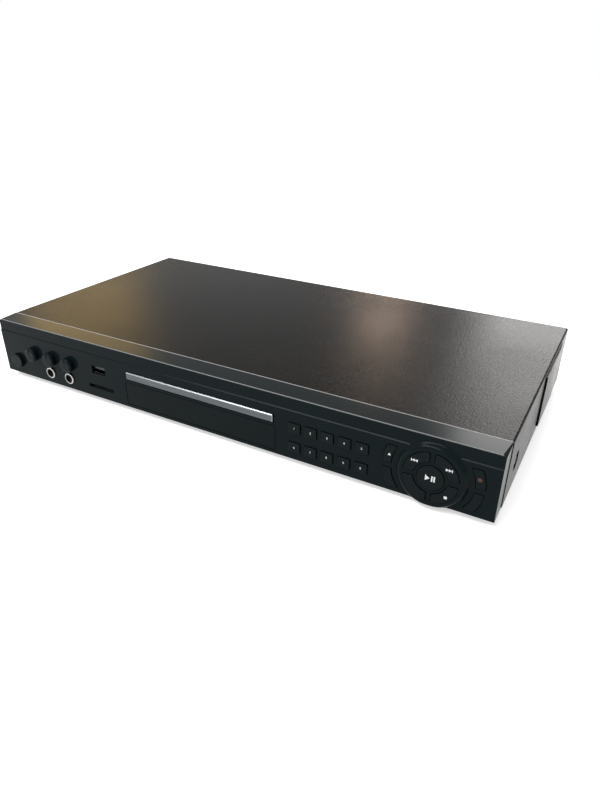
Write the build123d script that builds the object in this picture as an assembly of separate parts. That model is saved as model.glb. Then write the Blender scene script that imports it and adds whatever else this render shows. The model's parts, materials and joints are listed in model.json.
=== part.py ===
from build123d import *
import math
import os

os.makedirs("parts", exist_ok=True)

# Karaoke player with a disc tray, in millimetres. +Z is up and the front looks towards -Y.
# The origin is the middle of the overall box, on the surface that the feet stand on.
# Places along Y are given from the seam between the plastic front and the steel cover.
# Places along X are given inwards from the case's left or right end where they belong to it.

# ---- Case ----
case_width = 430.0
case_height = 48.0
foot_height = 5.0
cover_depth = 207.0
sheet = 1.0
cover_bend = 1.6
cover_seam_gap = 0.4
cover_clearance = 0.2
side_panel_rise = 1.2
side_panel_start = 108.0
side_panel_length = 76.0
side_panel_ramp = 18.0
side_panel_edge = 3.7
dimple_from_seam = 25.0
dimple_below_top = 27.0
dimple_r = 7.0
dimple_depth = 2.0
side_flange_height = 10.0
wall_below_top = 1.5
wall_slot_gap = 3.0
wiring_window = (100.0, 28.0)
wiring_from_end = 15.0
wiring_above_floor = 8.0
tab_half = 9.0
rear_panel_inset = 0.5
rear_panel_gap = 0.2
rear_flange = 8.0
rear_flange_screw_from_end = (30.0, 65.0)
floor_vent = (24.0, 3.0)
floor_vent_count = 8
floor_vent_pitch = 10.0
floor_vent_from_rear = 30.0
rear_vent = (22.0, 3.0)
rear_vent_count = 9
rear_vent_from_end = 175.0
rear_vent_pitch = 9.0
rear_vent_below_top = 22.0

# ---- Front bezel ----
face_depth = 17.2
band_depth = 16.6
band_height = 9.4
bezel_wall = 2.2
bezel_end_gap = 0.4
bezel_edge = 0.5
end_bevel_front = 2.6
end_bevel_seam = 0.6
key_gap = 0.45
catch = 1.0
catch_gap = 0.05
board_post_r = 2.5
mic_posts = [(9.0, 11.0), (34.0, 41.5), (94.0, 29.0), (127.0, 9.0)]
key_posts = [(145.5, 29.8), (80.5, 29.8), (7.5, 8.5), (6.5, 42.2)]
window_post_gap = 5.4

# ---- Round transport pad ----
pad_from_end = 41.3
pad_below_top = 27.2
pad_rise = 3.0
pad_foot_r = 25.0
pad_top_r = 19.4
play_r = 8.6
ring_in = 11.2
ring_out = 17.8
ring_bar = 1.8
ring_corner = 1.2
side_arc_in = 26.8
side_arc_out = 32.6
arc_upper = (-13.8, -26.8)
arc_lower = (-30.6, -44.0)
side_arc_corner = 0.5
control_proud = 0.6
control_travel = 0.8
control_edge = 0.3
control_stem_r = 1.5
control_rest_gap = 0.15
lamp_r = 1.4
lamp_depth = 1.4

# ---- Number keys ----
key_pitch = 12.4
key_width = 8.8
key_height = 7.2
key_corner = 0.6
key_first_from_end = 137.6
key_rows_below_top = (22.3, 37.4)
key_columns = 5
key_proud = 1.0

# ---- Level knobs, power button and front sockets ----
knob_first_from_end = 37.5
knob_pitch = 20.9
knob_count = 3
knob_below_top = 24.6
knob_r = 6.0
knob_length = 4.3
knob_gap = 0.4
knob_shaft_r = 3.0
knob_edge = 1.6
knob_face_wall = 2.2
pointer_width = 0.8
pointer_depth = 0.5
pointer_from_axis = 1.5
pot_size = (9.8, 10.6, 6.8)
pot_bush_wall = 1.2
pot_bush_gap = 0.4
pot_bore_depth = 3.5
shaft_end_gap = 0.5
jack_first_from_end = 55.9
jack_pitch = 21.8
jack_count = 2
jack_below_top = 37.8
jack_bore_r = 3.25
jack_bush_r = 3.95
jack_nut_r = 4.75
jack_nut_length = 1.5
jack_depth = 31.0
jack_barrel_r = 5.5
jack_body = (16.0, 13.0)
jack_bush_set = 0.1
jack_end_wall = 2.0
power_from_end = 16.5
power_below_top = 35.0
power_r = 6.0
power_proud = 3.0
power_travel = 2.0
power_stem = 0.5
switch_size = (10.0, 7.0)
switch_plunger = 4.0
switch_gap = 0.2
usb_from_end = 112.5
usb_below_top = 22.7
usb_size = (13.2, 5.8)
usb_wall = 0.4
usb_set_back = 1.2
usb_opening_gap = 0.5
card_from_end = 113.0
card_below_top = 38.0
card_size = (26.4, 3.0)
card_body = (28.0, 28.0, 3.8)
card_mouth_height = 2.4
card_ear = (2.0, 1.0, 0.8)

# ---- Display ----
window_x = -6.3
window_width = 135.6
window_height = 18.8
window_below_top = 35.1
window_inset = 0.1
window_flange = 0.8
tube_size = (100.0, 15.0, 4.2)
tube_tip = (1.4, 4.0)

# ---- Disc tray ----
fascia_width = 132.6
fascia_height = 6.1
fascia_below_top = 19.65
fascia_proud = 0.8
fascia_thickness = 3.0
fascia_bevel = 0.7
slot_gap_side = 1.1
slot_gap_end = 0.6
tray_width = 126.0
tray_height = 6.0
tray_back = 156.0
tray_travel = 135.0
disc_from_seam = 54.0
disc_well_r = 60.75
disc_well_depth = 2.0
small_disc_r = 40.5
small_disc_depth = 0.6
tray_floor = 1.6
tray_rail = 3.0
tray_front_wall = 2.0
tray_corner = 4.0
tray_slot_half = 21.0
rack_from_centre = 52.0
rack_over = 3.0

# ---- Loader frame and drive ----
plate_drop = 10.7
plate = 2.0
frame_wall = 2.6
frame_front = 2.0
frame_back = 182.0
frame_window = (48.0, 30.0, 172.0)
tray_side_gap = 0.4
tray_lift_gap = 0.3
ledge = 1.8
lip = (2.0, 20.0, 1.6)
lip_from_seam = (frame_front, 118.0)
ear_from_seam = (44.0, 150.0)
ear = (9.0, 12.0)
rack_module = 1.0
pinion_teeth = 15
wheel_module = 0.7
wheel_teeth = 42
driver_teeth = 12
gear_from_seam = 18.0
pinion_lift = 0.2
pinion_thickness = 2.0
wheel_drop = 2.7
wheel_thickness = 2.4
driver_drop = 2.3
gear_hub_r = 3.6
gear_post_r = 2.0
driver_post_r = 1.5
belt_side = 1.2
belt_gap = 0.08
pulley_lift = 0.4
pulley_height = 2.8
pulley_flange = 0.7
pulley_r = 9.0
pulley_lip = 1.0
motor_pulley_r = 3.0
motor_pulley_lip = 0.8
motor_r = 12.0
motor_height = 12.0
motor_boss_r = 2.2
motor_shaft_r = 1.0
motor_from_centre = -10.0
post_over = 0.5
shaft_fit = 0.05
backlash = 0.1

# ---- Traverse ----
traverse_half = 44.0
traverse_front = 38.0
traverse_back = 160.0
traverse_lift = 1.4
traverse_plate = 2.4
pivot_from_seam = 165.0
pivot_lift = 1.0
pivot_r = 2.0
pivot_block = (5.7, 10.0, 5.0)
pivot_side_gap = 0.3
pivot_pin = 5.0
arm = (6.0, 3.0, 2.4)
sled_window = (29.0, 74.0, 152.0)
rod_half_spacing = 23.0
rod_r = 1.5
rod_lift = 4.6
rod_block = (8.0, 4.0, 3.0)
rod_seat = 3.0
sled_front = 80.0
sled_length = 30.0
sled_travel = 34.0
sled_half = 27.0
sled_floor_gap = 1.2
sled_over_rod = 3.6
lens_from_front = 11.0
turret = (6.5, 2.0)
lens = (2.6, 1.0)
feed_rack_side = 3.0
feed_module = 0.6
feed_teeth = 20
feed_pinion_teeth = 10
feed_from_seam = 112.0
feed_pinion_angle = 135.0
feed_lift = 0.6
feed_thickness = 2.4
feed_post_r = 1.2
feed_motor = (5.0, 9.0)
feed_shaft_r = 0.75
feed_shaft_hole_r = 1.4
spindle_motor = (12.5, 6.0)
spindle_r = 1.0
spindle_short = 0.8
turntable_r = 16.5
turntable_rim = 1.6
turntable_stem_r = 4.0
disc_lift = 0.7
disc_thickness = 1.2
hub_r = 7.4
hub_height = 2.2
hub_chamfer = 1.4
hub_clearance = 0.8
bridge_round = 5.0
bridge_hole_gap = 0.5
bridge_hole_r = 1.0
bridge_gap = 2.5
bridge_thickness = 2.0
bridge_half_width = 14.0
puck_r = 14.0
puck_neck_r = 11.4
puck_gap = 0.4
puck_flange = (1.0, 1.8)

# ---- Boards: the two on the floor give gaps from their end, the seam and the rear, and a width ----
board = 1.6
standoff = 6.0
standoff_r = 3.0
frame_post_r = 4.0
board_corner = 5.0
board_end_gap = 1.4
board_low_gap = 0.8
board_top_gap = 2.8
key_board_back = 8.0
key_board_left = 8.4
key_board_step = 4.9
key_board_below_window = 0.6
mic_board_back = 0.4
mic_board_gap = 1.5
cutout_gap = 0.3
tact_size = (6.0, 3.0, 0.4)
tact_plunger_r = 1.7
main_board_area = (11.0, 60.0, 11.0, 108.0)
power_board_area = (11.0, 40.0, 17.0, 104.0)

# ---- Parts soldered on the boards: width, depth and height, or radius and height ----
chip = (24.0, 24.0, 2.0)
chip_forward = 20.0
fin = (1.0, 20.0, 7.0)
fin_count = 7
fin_pitch = 3.0
memory = (12.0, 20.0, 1.2)
memory_from_chip = 26.0
small_capacitor = (3.2, 9.0)
small_capacitor_count = 4
small_capacitor_pitch = 12.0
small_capacitor_corner = (14.0, 12.0)
flat_socket = (5.0, 18.0, 6.0)
flat_socket_count = 2
flat_socket_corner = (5.5, 39.0)
flat_socket_pitch = 26.0
transformer_core = (28.0, 32.0, 24.0)
transformer_winding = (18.0, 38.0, 19.0)
mains_capacitor = (9.0, 27.0)
mains_capacitor_at = (24.0, 38.0)
output_capacitor = (5.0, 18.0)
output_capacitor_at = (-32.0, -44.0)
output_capacitor_count = 3
output_capacitor_pitch = 14.0
heat_sink = (3.0, 40.0, 26.0)
heat_sink_at = (-34.5, 24.0)
filter_coil = (8.0, 12.0)
filter_coil_at = (30.0, -36.0)

# ---- Rear sockets ----
rca_reach = 8.0
rca_lift = 7.5
rca_bore_r = 1.6
rca_block = (58.0, 20.0, 28.0)
rca_opening_gap = 1.0
rca_from_end = 55.0
rca_pitch = (18.0, 13.0)
rca_shell_r = 4.15
hdmi_from_end = 107.0
hdmi_size = (15.0, 6.0)
hdmi_depth = 12.0
hdmi_proud = 0.4
hdmi_wall = 0.6
hdmi_corner = 1.2
hdmi_opening_gap = 0.4
inlet_from_end = 35.0
inlet_below_top = 23.0
inlet_body = (22.0, 20.0, 16.0)
inlet_flange = (2.0, 1.6, 1.5)
inlet_ear = (1.2, 0.8, 6.0)
inlet_mouth = (17.4, 8.8, 12.0)
inlet_opening_gap = 0.2
inlet_pin_r = 1.2
inlet_pin_half = 4.3
inlet_pin_short = 2.0

# ---- Feet and screws ----
foot_r = 11.0
foot_from_end = 35.0
foot_from_seam = 22.0
foot_from_rear = 19.0
screw_r = 1.4
screw_hole_r = 1.5
screw_head_r = 2.8
screw_head = 1.6
screw_slot = (0.6, 1.2)
board_screw_bite = 4.0
foot_edge = 1.0
foot_recess_gap = 0.6

# Worked out from the sizes above
front_reach = face_depth + knob_gap + knob_length
seam_y = (front_reach - cover_depth - rca_reach) / 2
rear_y = seam_y + cover_depth
top_z = foot_height + case_height
floor_z = foot_height + sheet
face_y = seam_y - face_depth
face_back_y = face_y + bezel_wall
pad_y = face_y - pad_rise
band_y = seam_y - band_depth
band_z = top_z - band_height
crease_z = band_z - (band_y - face_y)
pad_z = top_z - pad_below_top
end_x = case_width / 2
bezel_width = case_width - 2 * bezel_end_gap
pad_x = end_x - pad_from_end
key_first_x = end_x - key_first_from_end
knob_first_x = knob_first_from_end - end_x
jack_first_x = jack_first_from_end - end_x
power_x = power_from_end - end_x
usb_x = usb_from_end - end_x
card_x = card_from_end - end_x
rca_x = rca_from_end - end_x
hdmi_x = hdmi_from_end - end_x
inlet_x = end_x - inlet_from_end
inlet_z = top_z - inlet_below_top
tray_x = window_x
fascia_z = top_z - fascia_below_top
tray_z = fascia_z - tray_height / 2 - 0.05
tray_top = tray_z + tray_height
fascia_y = face_y - fascia_proud
tray_front_y = fascia_y + fascia_thickness
disc_y = seam_y + disc_from_seam
board_z = floor_z + standoff
plate_z = tray_z - plate_drop
plate_top = plate_z + plate
well_z = tray_top - disc_well_depth
tray_under = well_z - tray_floor
traverse_z = plate_z + traverse_lift
traverse_top = traverse_z + traverse_plate
pivot_z = traverse_z + pivot_lift
rod_z = traverse_z + rod_lift
turntable_top = well_z + disc_lift
bridge_z = tray_top + bridge_gap
puck_bottom = turntable_top + disc_thickness + puck_gap
frame_half = tray_width / 2 + tray_side_gap + frame_wall
tray_slot = (fascia_width + 2 * slot_gap_side, fascia_height + 2 * slot_gap_end)
window_z = top_z - window_below_top
knob_z = top_z - knob_below_top
jack_z = top_z - jack_below_top
usb_z = top_z - usb_below_top
card_z = top_z - card_below_top
power_z = top_z - power_below_top
knob_places = [knob_first_x + i * knob_pitch for i in range(knob_count)]
jack_places = [jack_first_x + i * jack_pitch for i in range(jack_count)]

# The two upright boards behind the front: their planes, limits and what stands on them
mic_board_y = (seam_y - mic_board_back - board, seam_y - mic_board_back)
key_board_y = (seam_y - key_board_back - board, seam_y - key_board_back)
board_low = foot_height + bezel_wall + board_low_gap
board_high = top_z - bezel_wall - board_top_gap
board_end = bezel_width / 2 - bezel_wall - board_end_gap
key_board_x = (window_x - window_width / 2 - key_board_left, board_end)
key_board_step_x = tray_x + tray_slot[0] / 2 + key_board_step
mic_board_x = (-board_end, key_board_x[0] - mic_board_gap)
mic_post_places = [(x - end_x, top_z - z) for x, z in mic_posts]
key_post_places = [(window_x - window_width / 2 - window_post_gap, window_z)]
key_post_places += [(end_x - x, top_z - z) for x, z in key_posts]
stem_back_y = key_board_y[0] - tact_size[1] - tact_size[2] - control_travel - control_rest_gap
power_stem_y = face_back_y + catch_gap + catch + power_stem
pot_front_y = mic_board_y[0] - pot_size[2]
pot_bush_y = face_back_y + pot_bush_gap

# The loader's gears and pulleys
gear_x = tray_x + rack_from_centre - rack_module * pinion_teeth / 2
gear_y = seam_y + gear_from_seam
driver_x = gear_x - wheel_module * (wheel_teeth + driver_teeth) / 2
motor_x = tray_x + motor_from_centre
pinion_z = (tray_z + pinion_lift, tray_z + pinion_lift + pinion_thickness)
wheel_z = (tray_z - wheel_drop - wheel_thickness, tray_z - wheel_drop)
pulley_z = (plate_top + pulley_lift, plate_top + pulley_lift + pulley_height)
driver_z = (pulley_z[1], tray_z - driver_drop)

# The traverse's feed and spindle
pivot_y = seam_y + pivot_from_seam
rack_side_x = tray_x - sled_half - feed_rack_side
feed_x = rack_side_x - feed_module * feed_teeth / 2
feed_y = seam_y + feed_from_seam
feed_z = (traverse_top + feed_lift, traverse_top + feed_lift + feed_thickness)
feed_centres = feed_module * (feed_teeth + feed_pinion_teeth) / 2
feed_pinion_x = feed_x + feed_centres * math.cos(math.radians(feed_pinion_angle))
feed_pinion_y = feed_y + feed_centres * math.sin(math.radians(feed_pinion_angle))
spindle_top = traverse_top + spindle_motor[1]
sled_top = rod_z + sled_over_rod

# Rear sockets, posts and feet
rca_rows_z = [board_z + board + rca_lift + row * rca_pitch[1] for row in range(2)]
rca_places = [(rca_x + (i - 1) * rca_pitch[0], z) for z in rca_rows_z for i in range(3)]
hdmi_z = board_z + board + hdmi_size[1] / 2
main_board_x = (main_board_area[0] - end_x, main_board_area[0] + main_board_area[3] - end_x)
main_board_y = (seam_y + main_board_area[1], rear_y - main_board_area[2])
power_board_x = (end_x - power_board_area[0] - power_board_area[3], end_x - power_board_area[0])
power_board_y = (seam_y + power_board_area[1], rear_y - power_board_area[2])
board_posts = [(x, y) for area in ((main_board_x, main_board_y), (power_board_x, power_board_y))
               for x in (area[0][0] + board_corner, area[0][1] - board_corner)
               for y in (area[1][0] + board_corner, area[1][1] - board_corner)]
frame_posts = [(tray_x + side * (frame_half + ear[0] / 2), seam_y + y)
               for side in (-1, 1) for y in ear_from_seam]
rear_flange_screw_x = (rear_flange_screw_from_end[0] - end_x, 0.0, end_x - rear_flange_screw_from_end[1])
rear_flange_screws = [(x, rear_y - rear_panel_inset - sheet - rear_flange / 2) for x in rear_flange_screw_x]
foot_places = [(side * (end_x - foot_from_end), y) for side in (-1, 1)
               for y in (seam_y + foot_from_seam, rear_y - foot_from_rear)]


def block(x, y, z):
    """A box between three pairs of limits."""
    centre = Pos((x[0] + x[1]) / 2, (y[0] + y[1]) / 2, (z[0] + z[1]) / 2)
    return centre * Box(abs(x[1] - x[0]), abs(y[1] - y[0]), abs(z[1] - z[0]))


def post(r, x, y, z):
    """An upright cylinder between two heights."""
    return Pos(x, y, (z[0] + z[1]) / 2) * Cylinder(r, abs(z[1] - z[0]))


def bar_y(r, x, y, z):
    """A cylinder along Y between two limits."""
    return Pos(x, (y[0] + y[1]) / 2, z) * Rot(90, 0, 0) * Cylinder(r, abs(y[1] - y[0]))


def bar_x(r, x, y, z):
    """A cylinder along X between two limits."""
    return Pos((x[0] + x[1]) / 2, y, z) * Rot(0, 90, 0) * Cylinder(r, abs(x[1] - x[0]))


def prism_y(outline, y):
    """An outline drawn in X and Z, as a solid between two limits along Y."""
    return Pos(0, max(y), 0) * extrude(Plane.XZ * outline, abs(y[1] - y[0]))


def prism_z(outline, z):
    """An outline drawn in X and Y, as a solid between two heights."""
    return Pos(0, 0, min(z)) * extrude(outline, abs(z[1] - z[0]))


def prism_x(points, x):
    """An outline given as Y and Z points, as a solid between two limits along X."""
    outline = make_face(Polyline(*points, close=True))
    return Pos(min(x), 0, 0) * extrude(Plane.YZ * outline, abs(x[1] - x[0]))


def mirrored(shape):
    """The shape together with its mirror image about the machine's middle plane."""
    return [shape, mirror(shape, Plane.YZ)]


def save(name, *solids):
    """One node: its solids stay separate."""
    shape = solids[0] if len(solids) == 1 else Compound(children=list(solids))
    export_step(shape, f"parts/{name}.step")


# ---- Screws: pan heads with plain shanks, kept in one list ----
screws = []


def screw(x, y, z, direction, length):
    """A screw whose head sits on the given point; the shank runs along direction."""
    head = Pos(0, 0, screw_head / 2) * Cylinder(screw_head_r, screw_head)
    head = fillet(head.edges().sort_by(Axis.Z)[-1], screw_head * 0.4)
    slot, depth = screw_slot
    cross = Box(screw_head_r, slot, depth) + Box(slot, screw_head_r, depth)
    head -= Pos(0, 0, screw_head) * cross
    shank = Pos(0, 0, -length / 2) * Cylinder(screw_r, length)
    turn = {"-z": Rot(0, 0, 0), "+z": Rot(180, 0, 0), "-x": Rot(0, 90, 0), "+x": Rot(0, -90, 0),
            "-y": Rot(-90, 0, 0), "+y": Rot(90, 0, 0)}[direction]
    screws.append(Pos(x, y, z) * turn * (head + shank))


# ---- Gears ----
def involute(base_r, r):
    """Angle of the involute of a base circle at a radius."""
    roll = math.sqrt(max((r / base_r) ** 2 - 1, 0))
    return roll - math.atan(roll)


def gear_outline(module, teeth, tooth_at=0.0):
    """Stub-tooth involute outline with one tooth centred at the angle tooth_at, in degrees."""
    pitch_r = module * teeth / 2
    base_r = pitch_r * math.cos(math.radians(20))
    tip_r = pitch_r + 0.8 * module
    root_r = pitch_r - 1.05 * module
    half_tooth = (math.pi * module / 2 - backlash) / 2 / pitch_r + involute(base_r, pitch_r)
    flank_from = max(base_r, root_r)
    flank = [flank_from + (tip_r - flank_from) * i / 4 for i in range(5)]
    points = []
    for tooth in range(teeth):
        middle = math.radians(tooth_at) + 2 * math.pi * tooth / teeth
        side = [(r, half_tooth - involute(base_r, r)) for r in flank]
        side = [(root_r, side[0][1])] + side if root_r < flank_from else side
        polar = [(r, middle - a) for r, a in side] + [(r, middle + a) for r, a in reversed(side)]
        points += [(r * math.cos(a), r * math.sin(a)) for r, a in polar]
    return make_face(Polyline(*points, close=True))


def rack_outline(module, y, gap_at, direction, x, back):
    """Rack seen from above: pitch line at x, teeth towards direction, one gap centred at gap_at."""
    pitch = math.pi * module
    half = (pitch / 2 - backlash) / 2
    slope = math.tan(math.radians(20))
    tip = 0.8 * module
    root = 1.05 * module
    first = math.ceil((y[0] - gap_at) / pitch)
    last = math.floor((y[1] - gap_at) / pitch) - 1
    points = [(back, y[0]), (x - direction * root, y[0])]
    for tooth in range(first, last + 1):
        middle = gap_at + (tooth + 0.5) * pitch
        points += [(x - direction * root, middle - half - slope * root),
                   (x + direction * tip, middle - half + slope * tip),
                   (x + direction * tip, middle + half - slope * tip),
                   (x - direction * root, middle + half + slope * root)]
    points += [(x - direction * root, y[1]), (back, y[1])]
    return make_face(Polyline(*points, close=True))


# ---- Outlines of the controls, drawn in X and Z ----
def at_pad(outline):
    return Pos(pad_x, pad_z) * outline


def ring_button(x_side, z_side):
    """A quarter of the pad's ring, cut back from the two bars of the cross."""
    reach = ring_out
    quarter = Pos(x_side * (ring_bar + reach / 2), z_side * (ring_bar + reach / 2)) * Rectangle(reach, reach)
    outline = (Circle(ring_out) - Circle(ring_in)) & quarter
    return at_pad(fillet(outline.vertices(), ring_corner))


def side_button(x_side, levels):
    """A piece of the wide arc beside the pad, between two heights below the case's top."""
    low, high = min(levels) + pad_below_top, max(levels) + pad_below_top
    band = Pos(x_side * side_arc_out / 2, (low + high) / 2) * Rectangle(side_arc_out, high - low)
    outline = (Circle(side_arc_out) - Circle(side_arc_in)) & band
    return at_pad(fillet(outline.vertices(), side_arc_corner))


def key_outline(column, row):
    x = key_first_x + column * key_pitch
    z = top_z - key_rows_below_top[row]
    return Pos(x, z) * RectangleRounded(key_width, key_height, key_corner)


pad_controls = {
    "play_button": at_pad(Circle(play_r)),
    "previous_button": ring_button(-1, 1),
    "next_button": ring_button(1, 1),
    "stop_button": ring_button(1, -1),
    "mode_button": ring_button(-1, -1),
}
side_controls = {
    "eject_button": side_button(-1, arc_upper),
    "repeat_button": side_button(-1, arc_lower),
    "record_button": side_button(1, arc_upper),
    "playback_button": side_button(1, arc_lower),
}
number_keys = {}
for digit in range(1, 11):
    row, column = divmod(digit - 1, key_columns)
    number_keys[f"key_{digit % 10}"] = key_outline(column, row)
switched_controls = [*pad_controls.values(), *side_controls.values(), *number_keys.values()]
power_outline = Pos(power_x, power_z) * Circle(power_r)
window_outline = Pos(window_x, window_z) * Rectangle(window_width, window_height)


# ---- Front bezel ----
def pad_dome(back):
    """The pad's round boss, rising smoothly from the band's face, set back by a distance."""
    band = bezel_wall - (band_y - face_y)
    top = bezel_wall + pad_rise
    shoulder = Spline((pad_foot_r, band), (pad_top_r, top), tangents=[(-1, 0), (-1, 0)])
    foot = Polyline((0, 0), (pad_foot_r, 0), (pad_foot_r, band))
    outline = make_face(foot + shoulder + Polyline((pad_top_r, top), (0, top), (0, 0)))
    dome = revolve(Plane.XZ * outline, Axis.Z)
    return Pos(pad_x, face_back_y + back, pad_z) * Rot(90, 0, 0) * dome


def end_bevel(side):
    """The wedge taken off the bezel's upper end edge, wider at the front."""
    half = bezel_width / 2

    def corner(y, cut):
        over = cut * 0.5
        points = [(half - cut, top_z), (half, top_z - cut * 0.6), (half + over, top_z - cut * 0.6 + over),
                  (half + over, top_z + over), (half - cut, top_z + over)]
        return Pos(0, y, 0) * (Plane.XZ * make_face(Polyline(*points, close=True)))

    wedge = loft([corner(seam_y, end_bevel_seam), corner(face_y - 1, end_bevel_front)])
    return wedge if side > 0 else mirror(wedge, Plane.YZ)


def front_bezel():
    """Moulded front: upper band, face, pad boss, openings and the boards' posts."""
    half = bezel_width / 2
    outer = prism_x(
        [(seam_y, top_z), (band_y, top_z), (band_y, band_z),
         (face_y, crease_z), (face_y, foot_height), (seam_y, foot_height)],
        (-half, half),
    )
    front_edges = outer.edges().filter_by(Axis.X).sort_by(Axis.Y)[:3]
    outer = fillet([e for e in front_edges if e.center().Z < foot_height + 1], bezel_edge * 2)
    top_edge = outer.edges().filter_by(Axis.X).filter_by(lambda e: e.center().Z > top_z - 0.1)
    outer = fillet(top_edge.sort_by(Axis.Y)[0], bezel_edge)
    body = outer + (pad_dome(0) & block((0, case_width), (pad_y - 1, seam_y), (foot_height, top_z)))
    for side in (-1, 1):
        body -= end_bevel(side)
    inner_top = top_z - bezel_wall
    inner_low = foot_height + bezel_wall
    inner_half = half - bezel_wall
    body -= prism_x(
        [(seam_y + 1, inner_top), (band_y + bezel_wall, inner_top),
         (band_y + bezel_wall, band_z), (face_back_y, crease_z),
         (face_back_y, inner_low), (seam_y + 1, inner_low)],
        (-inner_half, inner_half),
    )
    body -= pad_dome(bezel_wall) & block((0, inner_half), (pad_y, seam_y), (inner_low, inner_top))
    wall = (pad_y - 1, face_back_y + 1)
    for outline in switched_controls + [power_outline, window_outline]:
        body -= prism_y(offset(outline, key_gap), wall)
    body -= block((tray_x - tray_slot[0] / 2, tray_x + tray_slot[0] / 2), wall,
                  (fascia_z - tray_slot[1] / 2, fascia_z + tray_slot[1] / 2))
    for x in knob_places:
        body -= bar_y(knob_shaft_r + key_gap, x, wall, knob_z)
    for x in jack_places:
        body -= bar_y(jack_bush_r + cutout_gap, x, wall, jack_z)
    body -= prism_y(offset(Pos(usb_x, usb_z) * Rectangle(*usb_size), usb_opening_gap), wall)
    body -= prism_y(Pos(card_x, card_z) * Rectangle(*card_size), wall)
    for places, plane in ((mic_post_places, mic_board_y), (key_post_places, key_board_y)):
        for x, z in places:
            body += bar_y(board_post_r, x, (face_back_y, plane[0]), z)
            body -= bar_y(screw_hole_r, x, (plane[0] - board_screw_bite - 1, plane[0]), z)
            screw(x, plane[1], z, "-y", board + board_screw_bite)
    return body


# ---- Controls ----
def control(outline, front, wall_back, stem_back):
    """A push control: its cap fills the opening and its catch keeps it behind the wall."""
    catch_front = wall_back + catch_gap
    cap = prism_y(outline, (front, catch_front))
    cap = fillet(cap.faces().sort_by(Axis.Y)[0].edges(), control_edge)
    flange = prism_y(offset(outline, catch), (catch_front, catch_front + catch))
    middle = outline.center()
    shape = cap + flange
    return shape + bar_y(control_stem_r, middle.X, (catch_front, stem_back), middle.Y)


def build_controls():
    pad_front = pad_y - control_proud
    for name, outline in pad_controls.items():
        save(name, control(outline, pad_front, pad_y + bezel_wall, stem_back_y))
    for name, outline in side_controls.items():
        shape = control(outline, face_y - control_proud, face_back_y, stem_back_y)
        if name == "record_button":
            lamp = outline.center()
            shape -= bar_y(lamp_r + shaft_fit, lamp.X, (face_y - 2, face_y + lamp_depth), lamp.Y)
            save("record_lamp", bar_y(lamp_r, lamp.X, (face_y - control_proud, face_y + lamp_depth), lamp.Y))
        save(name, shape)
    for name, outline in number_keys.items():
        save(name, control(outline, face_y - key_proud, face_back_y, stem_back_y))
    save("power_button", control(power_outline, face_y - power_proud, face_back_y, power_stem_y))


def knob(x):
    """A level knob with a pointer groove, and its shaft running back into the potentiometer."""
    front = face_y - knob_gap - knob_length
    cap = bar_y(knob_r, x, (front, face_y - knob_gap), knob_z)
    cap = fillet(cap.faces().sort_by(Axis.Y)[0].edges(), knob_edge)
    cap -= block((x - pointer_width / 2, x + pointer_width / 2), (front - 1, front + pointer_depth),
                 (knob_z + pointer_from_axis, knob_z + knob_r + 1))
    shaft_end = pot_front_y + pot_bore_depth - shaft_end_gap
    return cap + bar_y(knob_shaft_r, x, (front + knob_face_wall, shaft_end), knob_z)


def mic_board():
    """Upright board behind the left end: potentiometers, power switch, and holes for the jacks."""
    body = block(mic_board_x, mic_board_y, (board_low, board_high))
    for x, z in mic_post_places:
        body -= bar_y(screw_hole_r, x, mic_board_y, z)
    for x in jack_places:
        body -= bar_y(jack_barrel_r + cutout_gap, x, mic_board_y, jack_z)
    card_hole = offset(Pos(card_x, card_z) * Rectangle(card_body[0], card_body[2]), cutout_gap)
    body -= prism_y(card_hole, mic_board_y)
    for x in knob_places:
        body += prism_y(Pos(x, knob_z) * Rectangle(pot_size[0], pot_size[1]), (pot_front_y, mic_board_y[0]))
        body += bar_y(knob_shaft_r + pot_bush_wall, x, (pot_bush_y, mic_board_y[0]), knob_z)
        body -= bar_y(knob_shaft_r + shaft_fit, x, (pot_bush_y - 1, pot_front_y + pot_bore_depth), knob_z)
    side, depth = switch_size
    plunger_front = power_stem_y + power_travel + switch_gap
    at_switch = Pos(power_x, power_z)
    body += prism_y(at_switch * Rectangle(side, side), (mic_board_y[0] - depth, mic_board_y[0]))
    plunger = at_switch * Rectangle(switch_plunger, switch_plunger)
    return body + prism_y(plunger, (plunger_front, mic_board_y[0]))


def mic_jack(x):
    """A 6.35 mm jack: square body on the board, bush through the face, barrel behind the board."""
    bush_front = face_y - jack_nut_length + jack_bush_set
    bore_end = bush_front + jack_depth
    shape = prism_y(Pos(x, jack_z) * Rectangle(*jack_body), (face_back_y, mic_board_y[0]))
    shape += bar_y(jack_bush_r, x, (bush_front, mic_board_y[0]), jack_z)
    shape += bar_y(jack_barrel_r, x, (mic_board_y[0] - 1, bore_end + jack_end_wall), jack_z)
    return shape - bar_y(jack_bore_r, x, (bush_front - 1, bore_end), jack_z)


def jack_nut(x):
    """The round nut that holds a jack's bush to the face."""
    ring = bar_y(jack_nut_r, x, (face_y - jack_nut_length, face_y), jack_z)
    ring = fillet(ring.faces().sort_by(Axis.Y)[0].edges(), jack_nut_length / 3)
    return ring - bar_y(jack_bush_r + shaft_fit, x, (face_y - 2 * jack_nut_length, face_y + 1), jack_z)


def usb_socket():
    """USB-A receptacle: folded shell with its tongue, standing on the mic board."""
    front, back = face_y + usb_set_back, mic_board_y[0]
    outline = Pos(usb_x, usb_z) * Rectangle(*usb_size)
    shell = prism_y(outline, (front, back))
    shell = fillet(shell.edges().filter_by(Axis.Y), usb_wall)
    shell -= prism_y(offset(outline, -usb_wall), (front - 1, back - 4 * usb_wall))
    w, h = usb_size
    tongue = block((usb_x - w / 2 + 3 * usb_wall, usb_x + w / 2 - 3 * usb_wall), (front + 1, back - usb_wall),
                   (usb_z + usb_wall / 2, usb_z + h / 2 - 2 * usb_wall))
    return shell + tongue


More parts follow.
